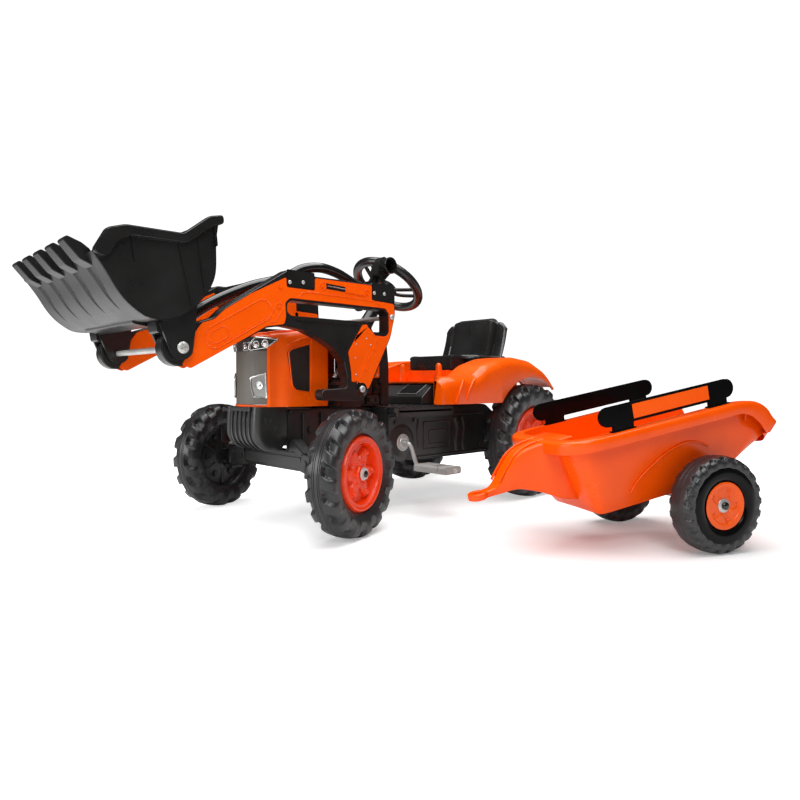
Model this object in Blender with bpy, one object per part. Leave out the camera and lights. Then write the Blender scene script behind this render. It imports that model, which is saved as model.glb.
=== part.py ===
"""Ride-on pedal tractor with a front loader and a parked two-wheel trailer.

Metres, +Z up.  The tractor faces -Y and its left side is +X.  The model is laid
out from the floor under the middle of the front axle, and the row empty then
moves it so that the origin is under the middle of the whole set.
"""
import bmesh
import bpy
from math import atan2, cos, hypot, pi, radians, sin
from mathutils import Matrix, Vector

# ---------------------------------------------------------------- driving sizes
ROW_SHIFT = (-0.25245, -0.1515, 0.0)    # front-axle point to the row's origin
GAP = 0.0004                            # between pieces that touch
RUN = 0.0006                            # radial clearance round a turning pin

WHEELBASE = 0.616
FRONT_TRACK = 0.467
REAR_TRACK = 0.412
FRONT_RADIUS = 0.120
FRONT_WIDTH = 0.066
REAR_RADIUS = 0.143
REAR_WIDTH = 0.076
AXLE_RADIUS = 0.006
STEER_DEG = 18.0                        # front wheels turned to the left
KINGPIN_OFFSET = 0.0385                 # kingpin to wheel centre plane
STEER_ARM = 0.045
BARREL_HALF = 0.0165                    # half height of a kingpin's barrel
FRONT_DISC = 0.072
REAR_DISC = 0.0858

FRAME_HALF = 0.060                      # front frame rails
BODY_HALF = 0.120                       # chassis moulding
DECK_TOP = 0.236                        # top of footboards
FRAME_BOTTOM = 0.1475
BEAM_BOTTOM = 0.112
BEAM_TOP = 0.147
BODY_BOTTOM = 0.110
WALL = 0.006
BOARD_HALF = 0.148
BOSS = 0.004                            # crank bearing, proud of the moulding

HOOD_FRONT = -0.060                     # corner where the hood meets the grille
HOOD_REAR = 0.068
HOOD_FRONT_HALF = 0.064
HOOD_HALF = 0.086
HOOD_BOTTOM = 0.241
HOOD_TOP = 0.402
HOOD_NOSE_TOP = 0.387
MOUTH_TOP = 0.381
GRILLE_BULGE = 0.026
HOOD_ROUND = 0.75                       # share of the corner's drop that is rounded
VENT_FRONT, VENT_REAR = -0.028, 0.022
VENT_LOW, VENT_HIGH = 0.276, 0.362
STRIP_BOTTOM, STRIP_TOP = 0.353, 0.3795
LAMP_BOTTOM, LAMP_TOP = 0.262, 0.305

COLUMN_Y = 0.215
COLUMN_DEPTH = 0.032
COLUMN_HALF = 0.082
COLUMN_TOP = 0.405

WHEEL_CENTRE = (0.0, 0.319, 0.530)      # steering wheel
WHEEL_RING = 0.082
WHEEL_TUBE = 0.0115
COLUMN_TILT_DEG = 35.4
SHAFT_RADIUS = 0.009
SHAFT_LENGTH = 0.290

ARM_PIVOT = (0.106, 0.276)              # Y and Z of the loader's lower pivot
BUCKET_PIVOT = (-0.285, 0.345)
ARM_INNER = 0.122
ARM_THICK = 0.028
PIVOT_RADIUS = 0.0055
CROSS_ROD = 0.005
CROSS_ROD_AT = (0.190, 0.430)
BUCKET_HALF = 0.180
BUCKET_WALL = 0.006
EAR_THICK = 0.008
EAR_GAP = 0.003                         # ear to arm side
TOOTH_COUNT = 5
TOOTH_PITCH = 0.065
TOOTH_WIDTH = 0.036
CRANK_OFFSET = (0.025, 0.0433)          # pivot to link pin, on bucket and on lever
LEVER_PIVOT = (0.135, 0.4537)
GRIP_OFFSET = (0.064, 0.090)
GRIP_RADIUS = 0.018
LINK_THICK = 0.021
LEVER_THICK = 0.010
LEVER_GAP = 0.0103                      # lever to arm, across
LEVER_INNER = ARM_INNER - LEVER_GAP - LEVER_THICK
LINK_INNER = LEVER_INNER - 0.0012 - LINK_THICK
LINK_PIN = 0.004

CRANK_CENTRE = (0.249, 0.155)
CRANK_ARM = 0.0545
CRANK_RADIUS = 0.005
CRANK_DEG = -73.0                       # left crank, from straight back
CRANK_SPROCKET = 0.0324                 # 18 teeth
REAR_SPROCKET = 0.0234                  # 13 teeth
BUSH_RADIUS = 0.0135
CHAIN_THICK = 0.005
CHAIN_WIDTH = 0.008
PEDAL_LENGTH = 0.101
PEDAL_HALF_WIDTH = 0.027
PEDAL_HALF_HEIGHT = 0.008
PEDAL_START = 0.163

FENDER_OUTER = 0.225
FENDER_INNER = 0.096
FENDER_ARCH = 0.160
FOOT_FRONT = WHEELBASE - 0.335          # front of the fenders
FOOT_INNER_FRONT = WHEELBASE - 0.256    # front of their inner, set-back part
DECK_FRONT = WHEELBASE - 0.176
SEAT_BASE_FRONT = WHEELBASE - 0.146
SEAT_BASE_REAR = WHEELBASE + 0.044
SEAT_HALF = 0.108
SEAT_TOP = 0.360
SEAT_BACK_TOP = 0.470
PEDESTAL_TOP = 0.323

TRAILER_AXLE = (0.6286, 0.4411, 0.083)
TRAILER_YAW_DEG = 26.1
TRAILER_PITCH_DEG = 11.06               # tongue down
TRAILER_RADIUS = 0.083
TRAILER_WHEEL_WIDTH = 0.050
TRAILER_TRACK = 0.260
TRAILER_PIN = 0.005
TRAILER_DISC = 0.0415
TUB_FLOOR = 0.018
TUB_RIM = 0.157
TUB_FRONT = -0.215
TUB_REAR = 0.176
TUB_HALF = 0.098
TUB_FLOOR_HALF = 0.078
TUB_WALL = 0.004
FLANGE = 0.020
RAIL_THICK = 0.007
RAIL_SETTING = 0.1065                   # outer face of a rail
RING_CENTRE = -0.373
RING_RADIUS = 0.017
RING_HOLE = 0.0075

ORANGE = (0.86, 0.105, 0.006, 1.0)
RED_ORANGE = (0.80, 0.055, 0.010, 1.0)
BLACK = (0.012, 0.012, 0.013, 1.0)
TYRE_BLACK = (0.028, 0.029, 0.032, 1.0)
GREY = (0.17, 0.155, 0.13, 1.0)
CLEAR = (0.72, 0.74, 0.75, 1.0)
STEEL = (0.62, 0.62, 0.60, 1.0)
PEDAL_GREY = (0.42, 0.42, 0.40, 1.0)


# ---------------------------------------------------------------- mesh helpers
def material(name, colour, roughness, metallic=0.0):
    """Principled material in one colour."""
    made = bpy.data.materials.get(name)
    if made is None:
        made = bpy.data.materials.new(name)
        made.use_nodes = True
        shader = made.node_tree.nodes["Principled BSDF"]
        shader.inputs["Base Color"].default_value = colour
        shader.inputs["Roughness"].default_value = roughness
        shader.inputs["Metallic"].default_value = metallic
        made.diffuse_color = colour
    return made


def empty(name, location, rotation=None, parent=None):
    """Empty used as a joint's origin."""
    made = bpy.data.objects.new(name, None)
    bpy.context.collection.objects.link(made)
    made.location = location
    if rotation is not None:
        made.rotation_euler = rotation
    made.parent = parent
    return made


def finish_mesh(shape):
    """Outward faces on a bmesh."""
    bmesh.ops.recalc_face_normals(shape, faces=shape.faces)
    return shape


def part(name, shape, surface, parent, angle=40.0):
    """Make the named object of a bmesh, shaded smooth up to an angle."""
    mesh = bpy.data.meshes.new(name)
    shape.to_mesh(mesh)
    shape.free()
    mesh.shade_smooth()
    mesh.set_sharp_from_angle(angle=radians(angle))
    made = bpy.data.objects.new(name, mesh)
    bpy.context.collection.objects.link(made)
    mesh.materials.append(surface)
    made.parent = parent
    return made


def combine(base, others, operation):
    """Boolean of bmeshes, which are used up; returns a new bmesh."""
    holders = []
    for index, shape in enumerate([base] + others):
        mesh = bpy.data.meshes.new("step")
        shape.to_mesh(mesh)
        shape.free()
        holder = bpy.data.objects.new("step%d" % index, mesh)
        bpy.context.collection.objects.link(holder)
        holders.append(holder)
    target = holders[0]
    for other in holders[1:]:
        modifier = target.modifiers.new("boolean", "BOOLEAN")
        modifier.operation = operation
        modifier.solver = "EXACT"
        modifier.object = other
    result = bmesh.new()
    result.from_object(target, bpy.context.evaluated_depsgraph_get())
    for holder in holders:
        mesh = holder.data
        bpy.data.objects.remove(holder)
        bpy.data.meshes.remove(mesh)
    bmesh.ops.remove_doubles(result, verts=result.verts, dist=0.000005)
    return finish_mesh(result)


def union(*shapes):
    return combine(shapes[0], list(shapes[1:]), "UNION")


def cut(base, *tools):
    return combine(base, list(tools), "DIFFERENCE")


def skin(rings):
    """Closed skin through rings of points, with flat ends."""
    shape = bmesh.new()
    loops = [[shape.verts.new(point) for point in ring] for ring in rings]
    count = len(loops[0])
    for first, second in zip(loops, loops[1:]):
        for index in range(count):
            after = (index + 1) % count
            shape.faces.new((first[index], first[after], second[after], second[index]))
    shape.faces.new(loops[0])
    shape.faces.new(loops[-1])
    return finish_mesh(shape)


def prism_x(outline, low, high):
    """Outline in Y and Z, extruded along X."""
    return skin([[(x, y, z) for y, z in outline] for x in (low, high)])


def prism_z(outline, low, high):
    """Outline in X and Y, extruded along Z."""
    return skin([[(x, y, z) for x, y in outline] for z in (low, high)])


def prism_y(outline, low, high):
    """Outline in X and Z, extruded along Y."""
    return skin([[(x, y, z) for x, z in outline] for y in (low, high)])


def box(low, high, bevel=0.0):
    """Box between two corners, with bevelled edges."""
    outline = [(low[0], low[1]), (high[0], low[1]), (high[0], high[1]), (low[0], high[1])]
    shape = prism_z(outline, low[2], high[2])
    if bevel:
        bmesh.ops.bevel(shape, geom=list(shape.edges), offset=bevel, segments=1, affect="EDGES")
        finish_mesh(shape)
    return shape


def circle(centre, radius, segments, start=0.0, sweep=2.0 * pi):
    """Points on an arc of a circle in a plane; a full circle isn't closed twice."""
    full = abs(sweep - 2.0 * pi) < 1e-9
    steps = segments if full else segments + 1
    return [(centre[0] + radius * cos(start + sweep * i / segments),
             centre[1] + radius * sin(start + sweep * i / segments)) for i in range(steps)]


def pin_x(low, high, radius, centre=(0.0, 0.0), segments=16):
    """Round bar along X, centred on a point in Y and Z."""
    return prism_x(circle(centre, radius, segments), low, high)


def pin_z(low, high, radius, centre=(0.0, 0.0), segments=16):
    """Round bar along Z, centred on a point in X and Y."""
    return prism_z(circle(centre, radius, segments), low, high)


def turned(profile, segments):
    """Closed profile of (x, radius) points turned about the X axis."""
    shape = bmesh.new()
    rings = []
    for step in range(segments):
        angle = 2.0 * pi * step / segments
        rings.append([shape.verts.new((x, r * cos(angle), r * sin(angle))) for x, r in profile])
    count = len(profile)
    for step in range(segments):
        first, second = rings[step], rings[(step + 1) % segments]
        for index in range(count):
            after = (index + 1) % count
            shape.faces.new((first[index], first[after], second[after], second[index]))
    return finish_mesh(shape)


def mirror_x(shape):
    """Turn a bmesh into its mirror image in X."""
    bmesh.ops.transform(shape, matrix=Matrix.Scale(-1.0, 4, (1.0, 0.0, 0.0)), verts=shape.verts)
    return finish_mesh(shape)


def moved(shape, matrix):
    bmesh.ops.transform(shape, matrix=matrix, verts=shape.verts)
    return shape


def tube(points, radius, sides=10):
    """Round bar along a path, with mitred bends and flat ends."""
    path = [Vector(point) for point in points]
    reference = Vector((1.0, 0.0, 0.0))
    first = (path[1] - path[0]).normalized()
    if abs(first.dot(reference)) > 0.9:
        reference = Vector((0.0, 1.0, 0.0))
    side = (reference - first * reference.dot(first)).normalized()
    rings = []
    for index, point in enumerate(path):
        before = path[max(index - 1, 0)]
        after = path[min(index + 1, len(path) - 1)]
        along = (after - before).normalized()
        side = (side - along * side.dot(along)).normalized()
        other = along.cross(side)
        stretch = 1.0
        if 0 < index < len(path) - 1:
            incoming = (point - before).normalized()
            stretch = 1.0 / max(incoming.dot(along), 0.7)
        bend = (after - point).normalized() - (point - before).normalized() if stretch > 1.0 else None
        ring = []
        for step in range(sides):
            angle = 2.0 * pi * step / sides
            offset = side * cos(angle) + other * sin(angle)
            if bend is not None and bend.length > 1e-6:
                direction = bend.normalized()
                offset = offset + direction * (offset.dot(direction) * (stretch - 1.0))
            ring.append(point + offset * radius)
        rings.append(ring)
    return skin(rings)


def smooth_path(points, steps):
    """Catmull-Rom curve through the points."""
    path = [Vector(point) for point in points]
    ends = [path[0] * 2.0 - path[1]] + path + [path[-1] * 2.0 - path[-2]]
    curve = []
    for index in range(1, len(ends) - 2):
        p0, p1, p2, p3 = ends[index - 1:index + 3]
        for step in range(steps):
            t = step / steps
            curve.append(0.5 * (2.0 * p1 + (p2 - p0) * t + (2.0 * p0 - 5.0 * p1 + 4.0 * p2 - p3) * t * t
                                + (3.0 * p1 - p0 - 3.0 * p2 + p3) * t ** 3))
    curve.append(path[-1])
    return curve


# ---------------------------------------------------------------- wheels
def wheel_profile(radius, width, hub_face, disc_radius, bore):
    """Blow-moulded wheel: tread, sidewalls and a web with its bore."""
    half = width / 2.0
    return [(half - 0.009, disc_radius + 0.002), (half, radius * 0.76), (half * 0.93, radius * 0.93),
            (half * 0.60, radius * 0.99), (0.0, radius), (-half * 0.60, radius * 0.99),
            (-half * 0.93, radius * 0.93), (-half, radius * 0.76), (-half * 0.72, disc_radius),
            (hub_face - 0.010, disc_radius * 0.90), (hub_face - 0.010, bore),
            (hub_face, bore), (hub_face, disc_radius * 0.95)]


def disc_profile(width, hub_face, disc_radius, bore):
    """Dished wheel disc that fills the wheel's outer recess."""
    face = width / 2.0 - 0.010
    back = hub_face + GAP
    return [(back, bore), (face - 0.001, bore), (face - 0.001, 0.017), (face - 0.010, 0.022),
            (face - 0.013, disc_radius * 0.62), (face - 0.008, disc_radius * 0.80),
            (face - 0.002, disc_radius * 0.90), (face - 0.001, disc_radius * 0.97),
            (back + 0.002, disc_radius * 0.91), (back, disc_radius * 0.88)]


def wheel(name, side, radius, width, disc_radius, bore, parent, offset):
    """Tyre and disc on a wheel's own X axis; side is +1 for the left."""
    hub_face = 0.0
    tyre = turned(wheel_profile(radius, width, hub_face, disc_radius, bore), 32)
    disc = turned(disc_profile(width, hub_face, disc_radius, bore), 24)
    shift = Matrix.Translation((offset, 0.0, 0.0))
    pieces = []
    for label, shape in (("tyre", tyre), ("disc", disc)):
        moved(shape, shift)
        if side < 0:
            mirror_x(shape)
        surface = RUBBER if label == "tyre" else DISC
        pieces.append(part("%s_%s_%s" % (name, label, "left" if side > 0 else "right"),
                           shape, surface, parent))
    return pieces


def front_corner(side):
    """Knuckle, stub axle, wheel and disc on one kingpin, turned as steered."""
    label = "left" if side > 0 else "right"
    kingpin_x = FRONT_TRACK / 2.0 - KINGPIN_OFFSET
    pivot = empty("kingpin_%s" % label, (side * kingpin_x, 0.0, FRONT_RADIUS),
                  (0.0, 0.0, radians(STEER_DEG)), row)
    barrel_half = BARREL_HALF
    shape = pin_z(-barrel_half, barrel_half, 0.0125)
    shape = union(shape, pin_z(-barrel_half - 0.012, barrel_half + 0.012, PIVOT_RADIUS))
    boss = pin_x(0.004, KINGPIN_OFFSET - 0.012, 0.0125)
    shape = union(shape, boss, box((-0.008, 0.006, -0.0105), (0.008, STEER_ARM + 0.008, -0.0045)))
    shape = cut(shape, pin_z(-0.02, 0.0, 0.004 + RUN, (0.0, STEER_ARM), 12),
                pin_x(0.0, KINGPIN_OFFSET + 0.05, AXLE_RADIUS + GAP))
    if side < 0:
        mirror_x(shape)
    part("knuckle_%s" % label, shape, BLACK_PLASTIC, pivot)
    outer = KINGPIN_OFFSET + FRONT_WIDTH / 2.0
    stub = union(pin_x(0.0008, outer - 0.004, AXLE_RADIUS),
                 pin_x(outer - 0.0095, outer - 0.0045, 0.011, segments=6))
    if side < 0:
        mirror_x(stub)
    part("stub_axle_%s" % label, stub, ZINC, pivot)
    return wheel("front", side, FRONT_RADIUS, FRONT_WIDTH, FRONT_DISC, AXLE_RADIUS + RUN, pivot,
                 KINGPIN_OFFSET)


def tie_rod():
    """Rod between the two steering arms, which stays parallel to X."""
    kingpin_x = FRONT_TRACK / 2.0 - KINGPIN_OFFSET
    turn = radians(STEER_DEG)
    x, y = -STEER_ARM * sin(turn), STEER_ARM * cos(turn)
    pivot = empty("tie_rod_pin", (kingpin_x + x, y, FRONT_RADIUS), None, row)
    span = 2.0 * kingpin_x
    top = -0.0108
    rod = box((-span - 0.007, -0.007, top - 0.006), (0.007, 0.007, top))
    pins = [pin_z(top - 0.001, -0.003, 0.004, (x, 0.0), 12) for x in (0.0, -span)]
    part("tie_rod", union(rod, *pins), ZINC, pivot)


# ---------------------------------------------------------------- frame
def axle_beam():
    """Moulded front axle with a fork for a kingpin at each end."""
    kingpin_x = FRONT_TRACK / 2.0 - KINGPIN_OFFSET
    low, high = FRONT_RADIUS - BARREL_HALF, FRONT_RADIUS + BARREL_HALF
    inner = kingpin_x - 0.022
    shape = prism_y([(-inner, low - 0.006), (-0.110, BEAM_BOTTOM), (0.110, BEAM_BOTTOM), (inner, low - 0.006),
                     (inner, high + 0.006), (0.110, BEAM_TOP), (-0.110, BEAM_TOP),
                     (-inner, high + 0.006)], -0.014, 0.014)
    for side in (-1, 1):
        for z0, z1 in ((low - 0.010, low - RUN), (high + RUN, high + 0.010)):
            ends = sorted((side * (inner - 0.004), side * (kingpin_x + 0.013)))
            lug = box((ends[0], -0.014, z0), (ends[1], 0.014, z1))
            shape = union(shape, lug)
        shape = cut(shape, pin_z(low - 0.02, high + 0.02, PIVOT_RADIUS + RUN, (side * kingpin_x, 0.0)),
                    pin_z(low, high, 0.0145, (side * kingpin_x, 0.0)))
    part("axle_beam", shape, BLACK_PLASTIC, row)


def chassis():
    """Main black moulding: front rails, pedal housing, footboards and rear carrier."""
    rear = WHEELBASE + 0.036
    front = box((-FRAME_HALF, -0.016, FRAME_BOTTOM), (FRAME_HALF, 0.225, DECK_TOP - 0.001))
    side = [(0.205, DECK_TOP), (0.205, 0.150), (0.222, 0.120),
            (0.290, BODY_BOTTOM), (WHEELBASE - 0.040, BODY_BOTTOM),
            (rear, BODY_BOTTOM + 0.004), (rear, 0.176), (WHEELBASE - 0.056, DECK_TOP)]
    body = prism_x(side, -BODY_HALF, BODY_HALF)
    boards = box((-BOARD_HALF, 0.205, DECK_TOP - 0.014), (BOARD_HALF, WHEELBASE - 0.216, DECK_TOP))
    console = box((-0.080, 0.360, DECK_TOP - 0.002), (0.080, DECK_FRONT - 0.002, 0.286))
    bosses = pin_x(-BODY_HALF - BOSS, BODY_HALF + BOSS, 0.034, CRANK_CENTRE, 24)
    shape = union(front, body, boards, console, bosses)
    inside = [(0.205 + WALL, DECK_TOP - WALL), (0.205 + WALL, 0.05), (rear - WALL, 0.05),
              (rear - WALL, 0.172), (WHEELBASE - 0.061, DECK_TOP - WALL)]
    cavity = prism_x(inside, -BODY_HALF + WALL, BODY_HALF - WALL)
    tunnel = box((-FRAME_HALF + WALL, -0.010, FRAME_BOTTOM - 0.01),
                 (FRAME_HALF - WALL, 0.260, DECK_TOP - 0.001 - WALL))
    crank_hole = pin_x(-0.3, 0.3, BUSH_RADIUS + GAP, CRANK_CENTRE, 20)
    axle_hole = pin_x(-0.3, 0.3, AXLE_RADIUS + RUN, (WHEELBASE, REAR_RADIUS), 16)
    shaft_hole = box((-0.018, 0.060, DECK_TOP - 0.02), (0.018, 0.130, DECK_TOP + 0.01))
    shape = cut(shape, cavity, tunnel, crank_hole, axle_hole, shaft_hole)
    part("chassis", shape, BLACK_PLASTIC, row)


def front_weights():
    """Block of slab weights hung on the front, rounded underneath."""
    outline = [(-0.092, HOOD_BOTTOM - 0.001), (-0.094, 0.200)]
    outline += [(-0.052 + 0.042 * cos(a), 0.192 + 0.040 * sin(a))
                for a in (radians(180 + 15 * i) for i in range(7))]
    outline += [(-0.030, 0.150), (-0.0175, 0.170), (-0.0175, HOOD_BOTTOM - 0.001)]
    shape = prism_x(outline, -FRAME_HALF - 0.001, FRAME_HALF + 0.001)
    grooves = []
    for index in range(-2, 3):
        x = index * 0.022
        grooves.append(box((x - 0.0025, -0.100, 0.160), (x + 0.0025, -0.089, HOOD_BOTTOM + 0.01)))
    part("front_weights", cut(shape, *grooves), BLACK_PLASTIC, row)


def grille_curve(half, corner, bulge, steps):
    """Bowed front from the right corner to the left corner."""
    return [(half * (2.0 * i / steps - 1.0),
             corner - bulge * (1.0 - (2.0 * i / steps - 1.0) ** 2)) for i in range(steps + 1)]


def hood():
    """Orange bonnet shell, open underneath and at the front."""
    def plan(inset):
        front = HOOD_FRONT_HALF - inset
        wide = HOOD_HALF - inset
        nose = grille_curve(front, HOOD_FRONT + inset, GRILLE_BULGE + 0.001, 8)
        return [(wide, HOOD_REAR - inset), (wide, 0.000), (wide - 0.008, -0.030)] + nose[::-1] \
            + [(-wide + 0.008, -0.030), (-wide, 0.000), (-wide, HOOD_REAR - inset)]

    def crown(y):
        share = (y - HOOD_FRONT) / (HOOD_REAR - HOOD_FRONT)
        return HOOD_NOSE_TOP + (HOOD_TOP - HOOD_NOSE_TOP) * max(0.0, share)

    def shell(inset, bottom):
        rings = [[(x, y, bottom) for x, y in plan(inset)]]
        for drop, scale in ((0.024, 1.0), (0.008, 0.95), (0.0, 0.80)):
            rings.append([(x * scale, y * (1.0 - (1.0 - scale) * 0.4), crown(y) - drop * HOOD_ROUND - inset)
                          for x, y in plan(inset)])
        return skin(rings)

    outer = shell(0.0, HOOD_BOTTOM)
    inner = shell(0.004, HOOD_BOTTOM - 0.01)
    half = HOOD_FRONT_HALF - 0.004
    mouth = box((-half, HOOD_FRONT - 0.05, HOOD_BOTTOM - 0.01), (half, HOOD_FRONT + 0.012, MOUTH_TOP))
    vents = [box((min(s * 0.076, s * 0.10), VENT_FRONT, VENT_LOW),
                 (max(s * 0.076, s * 0.10), VENT_REAR, VENT_HIGH)) for s in (-1, 1)]
    part("hood", cut(outer, inner, mouth, *vents), ORANGE_PLASTIC, row)


def grille():
    """Bowed grey front between the hood's corners."""
    half = HOOD_FRONT_HALF - 0.0045
    front = grille_curve(half, HOOD_FRONT - 0.001, GRILLE_BULGE, 12)
    back = [(x, HOOD_FRONT + 0.010) for x in (half, -half)]
    shape = prism_z(front + back, HOOD_BOTTOM + 0.001, MOUTH_TOP - 0.0005)
    hollow = [(x * 0.92, y + 0.005) for x, y in front] + [(half * 0.92, HOOD_FRONT + 0.02),
                                                         (-half * 0.92, HOOD_FRONT + 0.02)]
    shape = cut(shape, prism_z(hollow, HOOD_BOTTOM - 0.01, MOUTH_TOP - 0.006))
    part("grille", shape, GREY_PLASTIC, row)


def lamps():
    """Lamp strip across the top of the grille and a lower lamp at each corner."""
    half = HOOD_FRONT_HALF - 0.0005
    xs = [half * (2.0 * i / 12 - 1.0) for i in range(13)]
    front = [(x, grille_front(x) - 0.005) for x in xs]
    back = [(x, grille_front(x) - GAP) for x in xs[::-1]]
    part("headlamp_strip", prism_z(front + back, STRIP_BOTTOM, STRIP_TOP), LAMP, row)
    for side, label in ((1, "left"), (-1, "right")):
        xs = [0.030, 0.038, 0.046, 0.053]
        front = [(x, grille_front(x) - 0.0035) for x in xs]
        back = [(x, grille_front(x) - GAP) for x in xs[::-1]]
        shape = prism_z(front + back, LAMP_BOTTOM, LAMP_TOP)
        if side < 0:
            mirror_x(shape)
        part("lower_lamp_%s" % label, shape, LAMP, row)


def grille_front(x):
    """Y of the grille's front face at a given X."""
    half = HOOD_FRONT_HALF - 0.0045
    u = min(1.0, abs(x) / half)
    return HOOD_FRONT - 0.001 - GRILLE_BULGE * (1.0 - u * u)


def vents():
    """Mesh panels let into the hood's sides."""
    for side, label in ((1, "left"), (-1, "right")):
        ends = sorted((side * (HOOD_HALF - 0.0036), side * (HOOD_HALF - 0.0006)))
        shape = box((ends[0], VENT_FRONT + GAP, VENT_LOW + GAP),
                    (ends[1], VENT_REAR - GAP, VENT_HIGH - GAP))
        part("hood_vent_%s" % label, shape, GREY_PLASTIC, row)


def column():
    """Upright behind the hood that carries the steering shaft, with orange side panels."""
    back = COLUMN_Y + COLUMN_DEPTH
    frame = box((-COLUMN_HALF, COLUMN_Y, DECK_TOP + GAP), (COLUMN_HALF, back, COLUMN_TOP), 0.004)
    engine = box((-0.070, 0.085, DECK_TOP + GAP), (0.070, COLUMN_Y + 0.004, 0.300))
    dash_half = COLUMN_HALF - 0.004
    dash = box((-dash_half, 0.120, 0.372), (dash_half, COLUMN_Y + 0.004, COLUMN_TOP - 0.004))
    # bearing for the loader's lower pivot
    carrier = [(0.075, DECK_TOP + GAP), (0.132, DECK_TOP + GAP), (0.124, 0.290), (0.106, 0.297),
               (0.088, 0.290)]
    cheeks = []
    for side in (-1, 1):
        ends = sorted((side * 0.066, side * (ARM_INNER - 0.002)))
        cheeks.append(prism_x(carrier, ends[0], ends[1]))
    shape = union(frame, engine, dash, *cheeks)
    axis = Vector((0.0, sin(radians(COLUMN_TILT_DEG)), cos(radians(COLUMN_TILT_DEG))))
    top = Vector(WHEEL_CENTRE)
    bore = tube([top - axis * 0.02, top - axis * (SHAFT_LENGTH + 0.05)], SHAFT_RADIUS + RUN, 16)
    shape = cut(shape, bore, pin_x(-0.3, 0.3, PIVOT_RADIUS + RUN, ARM_PIVOT))
    part("column", shape, BLACK_PLASTIC, row)
    for side, label in ((1, "left"), (-1, "right")):
        ends = sorted((side * (COLUMN_HALF - 0.0036), side * (COLUMN_HALF + 0.004)))
        panel = box((ends[0], 0.142, 0.3005), (ends[1], COLUMN_Y - GAP, 0.371))
        part("side_panel_%s" % label, panel, ORANGE_PLASTIC, row)


def steering():
    """Shaft, wheel with paired spokes: one turning body on the tilted column axis."""
    turn = empty("steering_axis", WHEEL_CENTRE, (-radians(COLUMN_TILT_DEG), 0.0, 0.0), row)
    ring = turned([(WHEEL_TUBE * cos(a), WHEEL_RING + WHEEL_TUBE * sin(a))
                   for a in (2.0 * pi * i / 10 for i in range(10))], 32)
    moved(ring, Matrix.Rotation(radians(90.0), 4, "Y"))
    hub = pin_z(-0.024, -0.004, 0.022, segments=20)
    spokes = []
    for angle in (35.0, 145.0, 250.0, 290.0):
        for offset in (-0.011, 0.011):
            spoke = box((0.008, offset - 0.0035, -0.017), (WHEEL_RING - 0.003, offset + 0.0035, -0.006))
            moved(spoke, Matrix.Rotation(radians(angle), 4, "Z"))
            spokes.append(spoke)
    shape = union(ring, hub, *spokes)
    shape = cut(shape, pin_z(-0.03, -0.0045, SHAFT_RADIUS + GAP - 0.0002))
    part("steering_wheel", shape, BLACK_PLASTIC, turn)
    part("steering_shaft", pin_z(-SHAFT_LENGTH, -0.005, SHAFT_RADIUS), ZINC, turn)


# ---------------------------------------------------------------- drive
def chain_loop(inner):
    """Outline of a belt round both sprockets, at a distance outside their radii."""
    big, small = CRANK_SPROCKET + inner, REAR_SPROCKET + inner
    dy, dz = WHEELBASE - CRANK_CENTRE[0], REAR_RADIUS - CRANK_CENTRE[1]
    length = hypot(dy, dz)
    lean = atan2(dz, dy)
    spread = pi / 2.0 - atan2(big - small, length)
    first = circle(CRANK_CENTRE, big, 14, lean + spread, 2.0 * (pi - spread))
    second = circle((WHEELBASE, REAR_RADIUS), small, 10, lean - spread, 2.0 * spread)
    return first + second


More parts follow.
